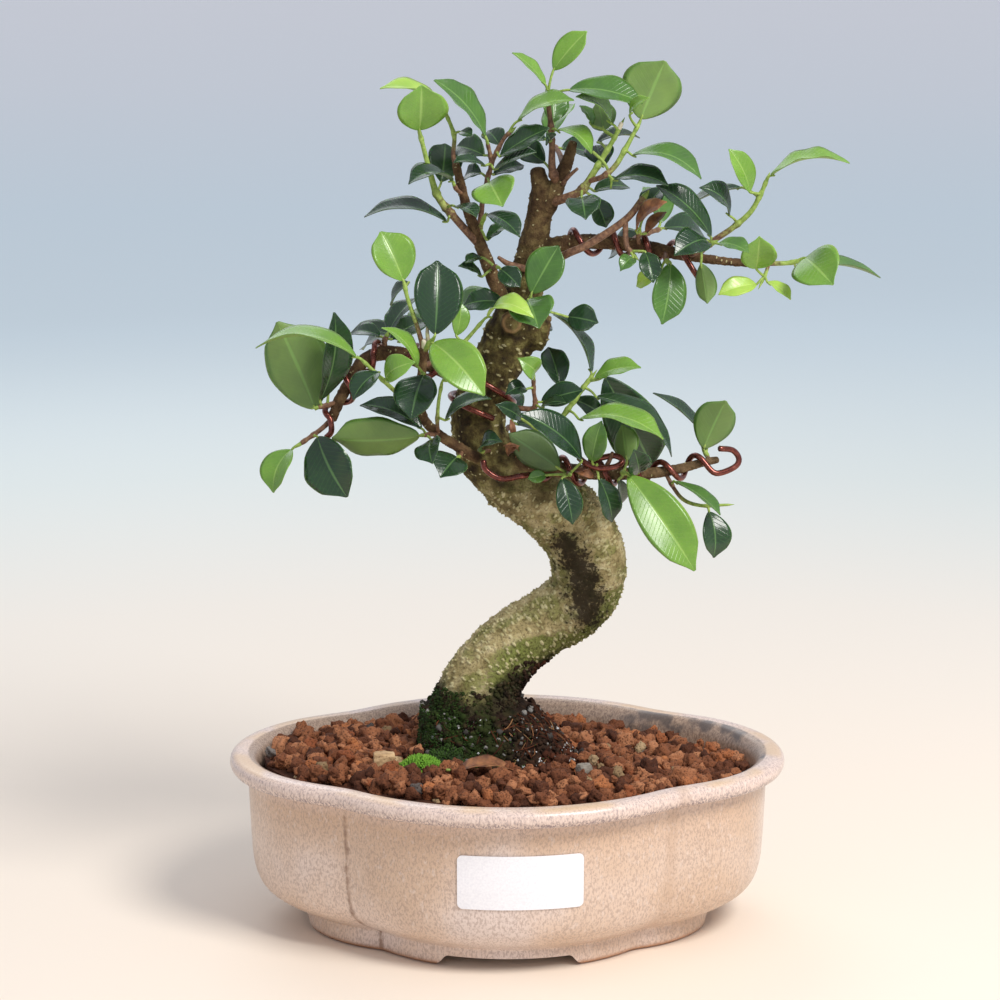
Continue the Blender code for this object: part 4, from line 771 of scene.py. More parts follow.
def granules():
    """Layers of grains, each with the pitch of its grid, its lift over the soil and its usual size."""
    skin = Skin()
    count = 0
    for pitch, lift, typical in LAYERS:
        for row, y in enumerate(np.arange(-66, 66, pitch * 0.87)):
            for x in np.arange(-88, 88, pitch) + (row % 2) * pitch / 2:
                px, py = x + draw.normal() * 0.22 * pitch, y + draw.normal() * 0.22 * pitch
                size = float(np.clip(draw.lognormal(math.log(typical), 0.24), 2.8, 8.2))
                kind, shade, _ = draw.random(), draw.random(), draw.random()
                points, faces = GRAIN_SHAPES[int(draw.integers(len(GRAIN_SHAPES)))]
                points = turned_any_way(points * draw.uniform((0.85, 0.75, 0.65), (1.1, 1.0, 0.95)))
                if room_to_wall(px, py) < 0.52 * size or to_ball(px, py) < (0.97 if lift < 0 else 1.02):
                    continue
                if lift > 0 and any(math.hypot(px - x0, py - y0) < radius + 0.35 * size
                                    for x0, y0, radius in KEPT_CLEAR):
                    continue
                pick = kind - 0.05 * blend(-55, -80, px)
                hue = RED if pick > 0.13 else ORANGE if pick > 0.018 else TAN if pick > 0.007 else GREY
                skin.add(points * size + (px, py, soil_height(px, py) + lift + 0.2 * size), faces,
                         grain_hue=hue, shade=shade)
                count += 1
    print("granules", count)
    return skin.mesh("lava_granules", turned=False)


# %% Lava finish
def lava_finish(name, dark):
    """Lava of the four colours, with painted shade in its pits. dark deepens that painted shade, for the bed
    that lies in shade under the grains.
    """
    lava = Finish(name, 0.93, Specular_IOR_Level=0.25)
    shade = lava.broken(lava.painted("shade"), lava.cloud(2.2, 4.0, 0.6), 0.5)
    hue, pits = lava.painted("grain_hue"), lava.cells(0.9)
    lava.colour(lava.shades(shade, (0.0, 74, 42, 28), (0.4, 118, 71, 47), (0.75, 150, 95, 63),
                            (1.0, 178, 120, 84)))
    for kind, low, high in ((ORANGE, (140, 80, 50), (178, 112, 70)), (TAN, (142, 116, 84), (206, 178, 138)),
                            (GREY, (66, 58, 54), (128, 120, 114))):
        tone = lava.shades(shade, (0.1, *low), (0.9, *high))
        lava.cover(tone, lava.step(kind - 0.6, kind - 0.4, hue))
    # Dark pits: painted shade in the hollows of the grains.
    lava.cover(paint(44, 24, 17), lava.step(0.45, 0.15, pits), 0.68 + dark / 2)
    lava.bumpy(lava.calc("ADD", pits, lava.cloud(0.45, 3.0, 0.7)), 0.35, 0.9)
    return lava.material


piece("lava_granules", granules(), [lava_finish("lava_grain", 0.0)], "granules")
# The bed lies under the grains, so its pits carry deeper painted shade.
frame["nodes"]["soil"].material_slots[0].material = lava_finish("lava_bed", 0.35)

# %% [markdown]
# ## Root mound, moss and stones
# The tree sits on the ball of finer, blacker soil that it came in. Fine roots, perlite crumbs and moss
# show on it. The mound is the model's own skin at a finer spacing, pushed in and out by noise. Its
# crumbs, fibres and moss leaflets are real little shapes, because a bump would look painted on where
# the mound meets the sky. Moss is hundreds of pointed leaflets, each a stretched octahedron.


# %% Root mound
BALL_SHARES = [(0.0, 0.96), (0.2, 1.0), (0.4, 0.96), (0.58, 0.87), (0.75, 0.78), (0.9, 0.70), (1.0, 0.64)]
BALL_FOOT, BALL_HEIGHT, BALL_LEAN = POT_HEIGHT - 15.0, 31.5, 7.0
GRIT, PERLITE, PEAT, ROOT = 3.0, 4.0, 5.0, 6.0


def ball_ring(up, angles, extra=0.0):
    """Points of the root ball's skin at a share of its height."""
    share = np.interp(up, *zip(*BALL_SHARES))
    lump = 1.0 + 0.035 * np.sin(3 * angles + 5 * up) + 0.02 * np.sin(7 * angles)
    x = BALL_X - BALL_LEAN * up**2 + (BALL_LENGTH / 2 * share * lump + extra) * np.cos(angles)
    y = (BALL_WIDTH / 2 * share * lump + extra) * np.sin(angles)
    return np.column_stack([x, y, np.full(np.shape(angles), BALL_FOOT + up * BALL_HEIGHT)])


def roughened(points, centre, size, depth):
    """The points pushed away from or towards a centre by noise."""
    made = []
    for point in points:
        spot, out = Vector(point) / size, Vector(point) - Vector(centre)
        push = noise.noise(spot) + 0.5 * noise.noise(spot * 2.3) + 0.3 * noise.noise(spot * 5.1)
        made.append(Vector(point) + out.normalized() * push * depth)
    return made


def mound():
    """The mound's side in thirty rings, and three narrower rings that close its top."""
    skin = Skin()
    angles = np.linspace(0, math.tau, 121)[:-1]
    rings = [roughened(ball_ring(up, angles), (BALL_X - 4, 0, 52), 4.5, 1.1)
             for up in np.linspace(0.25, 0.93, 30)]
    top = ball_ring(1.0, angles)
    middle = top.mean(axis=0)
    for inward in (0.8, 0.5, 0.2):
        ring = middle + (top - middle) * (inward, inward, 1.0)
        rings.append(roughened(ring, (BALL_X - 7, 0, 52), 4.5, 0.9))
    skin.stack(rings)
    return skin


def on_mound(angle, up, out=0.0):
    return Vector(ball_ring(up, np.array([angle]), out)[0])

print("root ball", BALL_LENGTH, "x", BALL_WIDTH, "mm")


# %% Crumbs and fine roots on the mound
def crumbs(skin, count):
    """Perlite, grit and peat crumbs over the mound, most of the pale ones low on the front right."""
    small = [carved(seed + 40.5, 2) for seed in range(8)]
    for _ in range(count):
        angle, up = draw.uniform(0, math.tau), draw.uniform(0.30, 0.97)
        size = float(np.clip(draw.lognormal(math.log(0.9), 0.4), 0.45, 2.2))
        front_right = math.cos(angle + 0.9) > 0.1
        pale = draw.random() < (0.22 if front_right and up < 0.62 else 0.03)
        kind = PERLITE if pale else GRIT if draw.random() < 0.15 else PEAT
        points, faces = small[int(draw.integers(8))]
        points = turned_any_way(points) * size * (0.8 if pale else 1.2)
        skin.add(points + np.array(on_mound(angle, up, 0.3)), faces, crumb=kind, shade=draw.random())


def fibres(skin, count):
    """Fine roots: short arched tubes that leave the mound and go back in."""
    for _ in range(count):
        right = draw.random() < 0.7
        angle = draw.normal(-0.5, 0.55) if right else draw.uniform(0, math.tau)
        up = draw.uniform(0.35, 0.98)
        start = on_mound(angle, up, 0.2)
        bend, drop, lift = draw.normal() * 0.25, draw.uniform(0.06, 0.24), draw.uniform(0.4, 1.5)
        middle = on_mound(angle + bend / 2, max(up - drop / 2, 0.3), lift)
        end = on_mound(angle + bend, max(up - drop, 0.28), 0.0)
        thick = draw.uniform(0.10, 0.24)
        path = between([(*start, thick), (*middle, thick), (*end, thick * 0.6)], 6)
        skin.stack(tube_rings(path, 5, False), crumb=ROOT, shade=draw.random())


mound_skin = mound()
crumbs(mound_skin, 2000)
fibres(mound_skin, 120)
print("points in the mound", mound_skin.count)

# %% Peat finish
def only(finish, kind, value):
    """1 where a painted kind is this one, and 0 at the kinds on either side of it."""
    return finish.both(finish.step(kind - 0.5, kind - 0.1, value), finish.step(kind + 0.6, kind + 0.4, value))


peat = Finish("peat_and_roots", 0.95, Specular_IOR_Level=0.1)
crumb, shade, along = peat.painted("crumb"), peat.painted("shade"), peat.along("X")
peat.colour(peat.shades(peat.cloud(3.0, 4.0, 0.6), (0.35, 26, 20, 16), (0.6, 58, 42, 32), (0.75, 84, 60, 42)))
mossy = peat.both(peat.step(-6, -30, along), peat.step(0.42, 0.60, peat.cloud(6, 3.0)))
peat.cover(paint(46, 64, 26), mossy, 0.8)
rust = peat.both(peat.step(-10, 4, along), peat.step(0.45, 0.6, peat.cloud(5, 2.0)))
peat.cover(paint(104, 56, 38), rust, 0.6)
peat.cover(peat.shades(shade, (0.2, 70, 66, 62), (0.9, 140, 136, 130)), only(peat, GRIT, crumb))
peat.cover(peat.shades(shade, (0.1, 176, 176, 176), (0.9, 236, 236, 234)), only(peat, PERLITE, crumb))
rooty = peat.shades(shade, (0.1, 64, 34, 24), (0.7, 108, 62, 40), (1.0, 168, 128, 88))
peat.cover(rooty, peat.step(ROOT - 0.5, ROOT - 0.1, crumb))
peat.bumpy(peat.cloud(0.7, 4.0, 0.7), 0.4, 0.9)
piece("root_mound", mound_skin.mesh("root_mound"), [peat.material], "root_soil", "root_ball")
print("nodes in the peat", len(peat.tree.nodes))


# %% Moss leaflets
LEAFLET_FACES = [(0, 2, 1), (0, 3, 2), (0, 4, 3), (0, 1, 4), (5, 1, 2), (5, 2, 3), (5, 3, 4), (5, 4, 1)]


def leaflets(skin, count, place, height, bright):
    """Pointed moss leaflets standing over a patch; place() gives a spot and the way out."""
    for _ in range(count):
        spot, out = place()
        lean = (out + Vector(draw.normal(size=3)) * 0.5).normalized()
        tall = height * draw.uniform(0.5, 1.2)
        side = lean.orthogonal().normalized() * tall * 0.26
        other = lean.cross(side).normalized() * tall * 0.14
        middle = spot + lean * tall * 0.45
        top = spot + lean * tall
        points = [spot - lean * 0.3, middle + side, middle + other, middle - side, middle - other, top]
        skin.add([tuple(p) for p in points], LEAFLET_FACES, bright=bright + 0.25 * draw.random())


print("a leaflet has", len(LEAFLET_FACES), "faces")

# %% Moss cushions
MOSS_X, MOSS_Y = -29.0, -24.1
PATCH, PATCH_HALVES = (MOSS_X, MOSS_Y), (7.6, 6.0)
LEDGE, LEDGE_HALVES = (MOSS_X + 9.5, MOSS_Y + 6.0), (10.5, 7.5)
UNDER_MOSS = 50.0


def over(middle, halves, rise, lift, lumps, lump_size):
    """Gives places at random over a cushion of moss that swells by rise."""
    def place():
        a, far = draw.uniform(0, math.tau), math.sqrt(draw.random())
        x, y = middle[0] + halves[0] * far * math.cos(a), middle[1] + halves[1] * far * math.sin(a)
        dome = rise * (1 - far**2) + lumps * noise.noise(Vector((x, y, 0)) / lump_size)
        out = Vector((math.cos(a) * far, math.sin(a) * far, 1.0))
        return Vector((x, y, soil_height(x, y) + lift + dome)), out
    return place


def over_mound_left():
    angle, up = draw.normal(3.75, 0.65), draw.uniform(0.38, 0.94)
    return on_mound(angle, up, 0.2), Vector((math.cos(angle), math.sin(angle), 0.5))


def cushion(skin, middle, halves, heart, depth, levels, bright):
    """The solid under the leaflets, as rings that shrink as they rise."""
    a = np.linspace(0, math.tau, 41)[:-1]
    rings = []
    for up, share in levels:
        x, y = middle[0] + halves[0] * share * np.cos(a), middle[1] + halves[1] * share * np.sin(a)
        rings.append(roughened(np.column_stack([x, y, soil_height(x, y) + up]), heart, 2.0, depth))
    skin.stack(rings, bright=bright)


moss_skin = Skin()
cushion(moss_skin, LEDGE, LEDGE_HALVES, (MOSS_X + 9, MOSS_Y + 6, UNDER_MOSS), 0.9,
        ((-0.4, 1.0), (1.6, 0.92), (3.8, 0.72), (5.6, 0.42), (6.3, 0.12)), 0.0)
leaflets(moss_skin, 1300, over(LEDGE, LEDGE_HALVES, 6.5, 0.0, 1.2, 3), 1.3, 0.10)
cushion(moss_skin, PATCH, PATCH_HALVES, (*PATCH, UNDER_MOSS), 0.5,
        ((-0.4, 1.0), (1.2, 1.0), (2.6, 0.9), (3.7, 0.66), (4.3, 0.36), (4.5, 0.1)), 0.30)
leaflets(moss_skin, 1500, over(PATCH, PATCH_HALVES, 4.2, 1.2, 0.4, 2), 1.5, 0.62)
leaflets(moss_skin, 2200, over_mound_left, 1.2, 0.05)
moss = Finish("moss", 0.75, Specular_IOR_Level=0.3)
moss_tone = moss.calc("ADD", moss.painted("bright"), moss.both(moss.cloud(4, 2.0), 0.3))
moss.colour(moss.shades(moss_tone, (0.1, 30, 40, 18), (0.4, 52, 78, 24), (0.75, 78, 122, 32),
                        (1.0, 122, 170, 54)))
moss.bumpy(moss.cloud(0.5), 0.1, 0.5)
piece("moss_leaflets", moss_skin.mesh("moss_leaflets", turned=False), [moss.material], "moss", "moss_patch")
print("points in the moss", moss_skin.count)


# %% Stones and pebbles
def stone(name, node, finish, sizes, turn, seed, flatten):
    """A carved lump with its six sides worn flat, at its node's place."""
    centre = middle_of(node)
    centre[2] += 1.6
    points, faces = carved(seed, 4, 0.22, 0.06)
    points = np.sign(points) * np.minimum(np.abs(points), flatten) * sizes
    spin = np.array(Matrix.Rotation(turn, 3, "Z"))
    skin = Skin()
    skin.add(points @ spin.T + centre, faces, shade=0.5)
    piece(name, skin.mesh(name, turned=False), [finish], "pebble", node, sharp=38)


def stone_finish(name, low, high, vein):
    rock = Finish(name, 0.8)
    layer = rock.cloud(3.0, 5.0, 0.65, (0.5, 1.0, 2.2))
    veins = rock.step(0.60, 0.70, rock.cloud(1.4, 3.0))
    rock.colour(rock.shades(layer, (0.35, *low), (0.65, *high)))
    rock.cover(paint(*vein), veins)
    rock.bumpy(rock.calc("ADD", layer, rock.cells(1.3)), 0.3, 0.7)
    return rock.material


tan_rock = stone_finish("tan_rock", (160, 124, 84), (208, 176, 132), (126, 94, 62))
grey_rock = stone_finish("grey_rock", (112, 104, 94), (160, 152, 138), (84, 78, 72))
stone("tan_stone", "stone_left", tan_rock, (9.6, 7.2, 6.6), 0.15, 3.7, 0.36)
stone("grey_stone", "stone_right", grey_rock, (6.0, 5.2, 6.0), 0.8, 9.2, 0.38)
print("moss and stones made")

# %% [markdown]
# ## The lines that the tree was drawn with
# Trunk, branches and twigs are centre lines with a thickness, set down as rows of x, height, depth
# and radius. They were drawn on the upright plane through the trunk and then pushed back or forward
# along the line of sight, which keeps each one where the eye expects it. The rows repeat the model's,
# and a Catmull-Rom curve runs through them, so stems bend evenly however few rows they have.

# %% Rows of the trunk and branches
EYE = Vector(EYE_PLACE)


def seen(x, z, depth):
    """The point that covers (x, z) of the drawing plane when pushed back by depth."""
    reach = (depth - EYE.y) / -EYE.y
    return Vector((EYE.x + (x - EYE.x) * reach, depth, EYE.z + (z - EYE.z) * reach))


def smooth_path(points, step):
    """A smooth curve through points of x, y, z, radius, sampled about every step millimetres."""
    path = []
    for span in spans(points):
        parts = max(1, round((span[2] - span[1]).xyz.length / step))
        path += [spline(*span, k / parts) for k in range(parts)]
    return [*path, points[-1]]


def drawn_path(rows, step=3.0):
    return smooth_path([Vector((*seen(x, z, depth), radius)) for x, z, depth, radius in rows], step)


TRUNK_ROWS = [
    (-11.5, 66, 0, 16.6), (-10, 76, 0, 14.6), (-7.5, 84, 1, 12.8), (2, 95.5, 3, 11.6),
    (13.4, 103.4, 5, 11.2), (24.5, 111.5, 6, 12), (27.4, 122, 5, 12.6), (24.5, 133, 3, 12.8),
    (14, 144.5, 1, 12.3), (0, 154, 0, 11), (-8, 164, -1, 9.6), (-9.6, 175, -1, 8.8), (-5.8, 186, 0, 8.4),
    (-1, 196, 1, 8.5), (2.5, 204, 2, 8.4), (4.5, 212.6, 2, 6.6), (6.8, 222.6, 2, 5.3),
    (8.8, 232.6, 2, 4.9), (10.5, 241, 1, 4.6), (11, 249, 0, 3.9), (9.9, 255.6, 0, 3),
]
BRANCH_ROWS = {
    "left_branch": [
        (-7, 188, 0, 3.6), (-20, 189.5, 1, 3.2), (-30, 193, 0, 2.8), (-40, 195, -3, 2.5),
        (-47.5, 192.5, -6, 2.3), (-52, 186, -8, 2.1), (-56.5, 178, -10, 1.9), (-58.5, 172.5, -11, 1.6),
    ],
    "front_left_branch": [
        (-4, 157.5, -3, 2.2), (-9, 158.8, -11, 2), (-16, 163, -15, 1.8), (-23.5, 168, -18, 1.7),
        (-28.6, 174.5, -20, 1.6), (-28.6, 186.5, -22, 1.5), (-27.6, 197.5, -24, 1.5),
    ],
    "lower_right_branch": [
        (-3, 158.5, -2, 3.2), (6, 158, -11, 3), (14, 156, -14, 2.7), (24, 154.8, -15, 2.5),
        (36, 154.2, -15, 2.2), (47, 154.2, -14, 1.9), (57, 155.6, -13, 1.7), (66, 158, -12, 1.4),
        (70.5, 158.8, -12, 1.2),
    ],
    "upper_right_branch": [
        (8, 229, 2, 3), (18, 231.3, 0, 2.7), (31, 232, -3, 2.5), (44.5, 230.4, -5, 2.3), (56, 228, -6, 2),
        (64, 226.5, -6, 1.6), (74.5, 225.2, -6, 1.4), (83.5, 224.8, -6, 1.3),
    ],
    "upper_left_branch": [
        (2, 208, -1, 2.8), (-2.6, 215, -5, 2.5), (-7, 226, -5, 2.3), (-10, 234, -5, 2),
        (-13.6, 244, -6, 1.7), (-16, 253.5, -6, 1.5), (-17, 257.5, -7, 1.4),
    ],
    "apex_fork": [
        (10.5, 239, 1, 3.4), (14, 245.5, -1, 3.2), (17, 252, -1, 2.6), (19.7, 258.5, 0, 2.1),
        (21.6, 264.5, 0, 1.5),
    ],
}
STUB_ROWS = [(2, 203, 1, 7.5), (8, 202.5, 1, 7.0), (13.2, 201.4, 1, 5.8)]
SCAR_ROWS = [(1.3, 205, -3, 4.0), (1.3, 205, -8.6, 3.4)]

# %% [markdown]
# ## Bark
# The wood is one living skin: branches swell out of the trunk without a seam. Tubes joined by a
# Boolean keep a hard crease at each joint, so here all the tubes are put in one mesh and remeshed
# with voxels of 0.4 mm, which melts them together, and a little smoothing rounds the forks. Relief
# comes after that, because a remesh would wipe it off: slow bulges, fine wrinkles, and hundreds of
# lenticels, the pale corky pores that a ficus breathes through, each a low bump lying across the stem.

# %% Melt the stems together
VOXEL = 0.4


def melted_wood():
    """All the wooden tubes as one skin."""
    skin = Skin()
    leader = drawn_path(TRUNK_ROWS, 2.0)
    for point in leader:
        point.w *= 1 - 0.2 * float(blend(225, 262, point.z))
    skin.stack(tube_rings(leader, 48))
    for rows, sides in ((STUB_ROWS, 32), (SCAR_ROWS, 24)):
        skin.stack(tube_rings(drawn_path(rows, 1.5), sides, domed=False))
    for rows in BRANCH_ROWS.values():
        skin.stack(tube_rings(drawn_path(rows, 1.2), 18))
    rough = put_in_scene("rough_wood", skin.mesh("rough_wood"))
    melt = rough.modifiers.new("melt", "REMESH")
    melt.mode = "VOXEL"
    melt.voxel_size = VOXEL * MM
    ease = rough.modifiers.new("ease", "SMOOTH")
    ease.factor, ease.iterations = 0.5, 5
    graph = bpy.context.evaluated_depsgraph_get()
    made = bpy.data.meshes.new_from_object(rough.evaluated_get(graph))
    bpy.data.objects.remove(rough, do_unlink=True)
    return made


wood_mesh = melted_wood()
print("wood points", len(wood_mesh.vertices))

# %% Where each point of the bark lies
def numbers(field, name):
    row = np.zeros(len(field) * 3, np.float32)
    field.foreach_get(name, row)
    return row.reshape(-1, 3).astype(float)


def tree_of(points):
    """A k-d tree, which finds the nearest of many points at once."""
    tree = KDTree(len(points))
    for k, point in enumerate(points):
        tree.insert(point, k)
    tree.balance()
    return tree


bark_points = (numbers(wood_mesh.vertices, "co") - UNDER_POT) / MM
bark_out = numbers(wood_mesh.vertex_normals, "vector")
lines = [drawn_path(rows, 1.0) for rows in (TRUNK_ROWS, *BRANCH_ROWS.values())]
line_points = [p for line in lines for p in line]
line_ways = [(line[min(k + 1, len(line) - 1)] - line[max(k - 1, 0)]).xyz.normalized()
             for line in lines for k in range(len(line))]
line_tree, trunk_tree = tree_of([p.xyz for p in line_points]), tree_of([p.xyz for p in lines[0]])
nearest = [line_tree.find(p)[1] for p in bark_points]
off_trunk = np.array([away - lines[0][k].w for _, k, away in map(trunk_tree.find, bark_points)])
on_branch = blend(0.6, 6.0, off_trunk) * (np.array(nearest) >= len(lines[0]))
stem_way = np.array([line_ways[k] for k in nearest])
thickness = np.array([line_points[k].w for k in nearest])
print("stems", len(lines), "with", len(line_points), "points along them")

# %% Scatter the lenticels
PORE_TRIES, FOOT_TOP, BEND_TOP = 9000, 80, 150
LOW_CROWD, HIGH_CROWD = 0.42, 0.11
bark_tree = tree_of(bark_points)
pore = np.zeros(len(bark_points))
pore_count = 0
for k in draw.permutation(len(bark_points))[:PORE_TRIES]:
    z = bark_points[k][2]
    if z < FOOT_TOP or draw.random() > (LOW_CROWD if z < BEND_TOP else HIGH_CROWD) or pore[k] > 0.05:
        continue
    across_size = draw.uniform(0.55, 1.25) * (1.0 if thickness[k] > 5 else 0.5)
    along_size = across_size * draw.uniform(0.32, 0.55)
    for spot, index, _ in bark_tree.find_range(bark_points[k], across_size):
        away = np.array(spot) - bark_points[k]
        lengthways = away @ stem_way[k]
        square = lengthways**2 / along_size**2 + (away @ away - lengthways**2) / across_size**2
        if square < 1:
            pore[index] = max(pore[index], (1 - square) ** 0.8)
    pore_count += 1
print("lenticels", pore_count)

# %% [markdown]
# Bark also records where it has stood: the foot is damp and nearly black, algae greens the side that
# faces the soil, a black stain runs down the inside of the second bend, and above it the bark is darker
# and rougher, more so on the left. The low undersides are painted darker green-brown as well, partly
# algae and partly painted shade. Each of these is a number from 0 to 1 on the points, with its edge
# broken by noise so that no border is a straight line.


# %% Zones and relief of the bark
def noise_on(points, size, octaves=3):
    return np.array([noise.fractal(Vector(p) / size, 1.0, 2.0, octaves) for p in points])


def near_line(points, start, end):
    """Distance in the drawing plane from a short line between two places (x, z)."""
    flat = points[:, [0, 2]]
    start, way = np.array(start), np.array(end) - np.array(start)
    share = np.clip((flat - start) @ way / (way @ way), 0, 1)
    return np.hypot(*(flat - start - share[:, None] * way).T)


STAIN_LINE = [(20, 131), (25, 121), (27, 106)]
ALGAE_LINE = ((-16, 88), (2, 90))
SCAR_PLACE, SCAR_RING = ((1.3, 206), (1.31, 206)), 2.7
STUB_END, STUB_Z = 12.6, 201.4
x, y, z = bark_points.T
out_x, out_y, out_z = bark_out.T
slow, fast = noise_on(bark_points, 9.0), noise_on(bark_points, 2.2)
stain_away = np.min([near_line(bark_points, a, b) for a, b in zip(STAIN_LINE, STAIN_LINE[1:])], axis=0)
foot_edge = 82 + 9 * blend(-10, 6, x)
under_bend = blend(19, 6, near_line(bark_points, *ALGAE_LINE) + 6 * slow) * blend(0.6, -0.1, out_z)
# Below the second bend, surfaces that face down turn green-brown: algae, and painted shade on the undersides.
shaded_undersides = 0.75 * blend(0.1, -0.6, out_z + 0.3 * slow) * blend(150, 110, z)
scar_away = near_line(bark_points, *SCAR_PLACE) * blend(-0.2, 0.1, -out_y) + 9 * (out_y > 0)
scar_ring = blend(0.9, 0.0, np.abs(scar_away - SCAR_RING)) * (z < 212)
cut_face = blend(STUB_END, STUB_END + 0.7, x) * blend(0.35, 0.8, out_x) * (np.abs(z - STUB_Z) < 7)
zones = {
    "stain": blend(11.5, 0.5, stain_away + 3.0 * slow + 4.0 * fast) * blend(0.3, -0.3, out_y),
    "damp": blend(foot_edge + 3, foot_edge - 4, z + 4 * slow + 2 * fast),
    "algae_and_shade": np.clip(under_bend + shaded_undersides, 0, 1),
    "upper_bark": blend(118, 172, z - 0.75 * x + 14 * slow + 9 * fast),
    "shoot": np.maximum(on_branch, 0.75 * blend(212, 240, z + 6 * slow)),
    "pore": pore * (1 - 0.75 * blend(7.5, 3.0, stain_away)),
    "scar": np.maximum(scar_ring, 0.7 * cut_face),
}
heft, upper_bark = blend(1.0, 8.0, thickness), zones["upper_bark"]
wrinkles = noise_on(bark_points + 3.0 * slow[:, None] * stem_way, 1.3, 2)
push = heft * (0.55 * slow * (1 + 0.8 * upper_bark) + 0.22 * fast * (1 + upper_bark))
push += 0.10 * wrinkles * (1 + 1.2 * upper_bark)
push += 0.6 * pore * (0.4 + 0.6 * heft) + 0.35 * zones["scar"] - 0.5 * blend(2.2, 0.5, scar_away)
pushed = in_frame(bark_points + bark_out * push[:, None])
wood_mesh.vertices.foreach_set("co", pushed.astype(np.float32).ravel())
for key, row in zones.items():
    wood_mesh.attributes.new(key, "FLOAT", "POINT").data.foreach_set("value", row.astype(np.float32))
wood_mesh.update()
wood_mesh.shade_smooth()
print("relief", round(float(push.min()), 2), "to", round(float(push.max()), 2), "mm")

# %% Bark finish
bark = Finish("ficus_bark", 0.85, Specular_IOR_Level=0.15)
mottle, grain = bark.cloud(5.0, 4.0, 0.6), bark.cloud(0.9, 4.0, 0.65)
bark.colour(bark.shades(mottle, (0.34, 128, 114, 74), (0.5, 168, 152, 108), (0.68, 204, 188, 146)))
green = bark.shades(grain, (0.35, 84, 92, 40), (0.65, 128, 134, 70))
bark.cover(green, bark.step(0.48, 0.64, bark.cloud(7.0, 3.0)), 0.6)
# Algae, and painted shade on the undersides: both turn the bark darker green.
bark.cover(green, bark.step(0.25, 0.62, bark.broken(bark.painted("algae_and_shade"), grain, 0.9)), 0.88)
# The upper bark, more of it on the left, is made darker and browner-green.
old = bark.shades(mottle, (0.35, 46, 37, 25), (0.5, 86, 75, 43), (0.66, 138, 129, 78))
bark.cover(old, bark.painted("upper_bark"))
bark.cover(bark.shades(mottle, (0.35, 72, 50, 36), (0.65, 120, 92, 66)), bark.painted("shoot"), 0.85)
bark.cover(paint(66, 50, 34), bark.step(0.50, 0.36, grain), 0.5)
corky = bark.shades(mottle, (0.3, 176, 168, 116), (0.7, 218, 206, 164))
bark.cover(corky, bark.step(0.18, 0.55, bark.broken(bark.painted("pore"), grain, 0.5)), 0.78)
bark.cover(paint(36, 26, 20), bark.step(0.36, 0.84, bark.broken(bark.painted("stain"), grain, 2.2)), 0.92)
bark.cover(bark.shades(grain, (0.4, 18, 15, 10), (0.65, 42, 40, 22)), bark.painted("damp"), 0.9)
bark.cover(paint(150, 118, 82), bark.painted("scar"), 0.7)
bark.bumpy(bark.calc("ADD", grain, bark.both(bark.cloud(0.4, 2.0), 0.5)), 0.6, 0.9)
piece("barked_wood", wood_mesh, [bark.material], "bark", "trunk", *BRANCH_ROWS)
print("nodes in the bark", len(bark.tree.nodes))

# %% Moss that climbs the foot of the trunk
low_bark = np.flatnonzero((z > 66) & (z < foot_edge - 0.5 + 3 * slow))
left_bark = low_bark[(x + 10 * slow)[low_bark] < -9]
climb = Skin()


def over_foot():
    k = left_bark[int(draw.integers(len(left_bark)))]
    return Vector(bark_points[k] + 0.2 * bark_out[k]), Vector(bark_out[k])


leaflets(climb, 2000, over_foot, 1.0, 0.02)
foot_crumbs = Skin()
crumb_shapes = [carved(seed + 60.5, 1) for seed in range(6)]
for k in draw.choice(low_bark, 1300):
    points, faces = crumb_shapes[int(draw.integers(6))]
    size = draw.uniform(0.6, 1.7)
    foot_crumbs.add(turned_any_way(points) * size + bark_points[k] + 0.25 * bark_out[k], faces,
                    crumb=PEAT, shade=draw.random())
piece("foot_crumbs", foot_crumbs.mesh("foot_crumbs", turned=False), [peat.material], "root_soil")
piece("climbing_moss", climb.mesh("climbing_moss", turned=False), [moss.material], "moss")
print("points of the wood under moss", len(left_bark))

# %% [markdown]
# ## Training wires
# Copper-brown aluminium wire, 2 mm thick, is wound round three branches and hooked over at its ends.
# A hand-drawn line would cut into the branch somewhere, so each winding is computed as a helix that
# keeps one wire radius and a hair off the branch, and only the loose ends are listed points.

# %% Wind the wires
WIRE_RADIUS, HUG = 1.0, 0.5
TRUNK_LINE = drawn_path(TRUNK_ROWS, 5.5)
BRANCH_LINES = {name: drawn_path(rows) for name, rows in BRANCH_ROWS.items()}


def index_near(path, x, z):
    target = seen(x, z, 0)
    return min(range(len(path)), key=lambda k: (path[k].xyz - target).length)


def wound(path, start, end, turns, phase, clearance):
    """Points of a helix on a stem, from one place on it to another. Phase 0 is the front."""
    start, end = index_near(path, *start), index_near(path, *end)
    count = round(turns * 12)
    points = []
    for k in range(count + 1):
        along = start + (end - start) * k / count
        low = min(int(along), len(path) - 2)
        here = path[low].lerp(path[low + 1], along - low)
        tangent = (path[low + 1] - path[low]).xyz.normalized()
        front = Vector((0, -1, 0))
        front = (front - front.dot(tangent) * tangent).normalized()
        angle = phase + math.tau * turns * k / count
        out = math.cos(angle) * front + math.sin(angle) * tangent.cross(front)
        points.append(Vector((*(here.xyz + out * (here.w + WIRE_RADIUS + clearance)), WIRE_RADIUS)))
    return points


def by_hand(*rows):
    return [Vector((*seen(x, z, d), WIRE_RADIUS)) for x, z, d in rows]


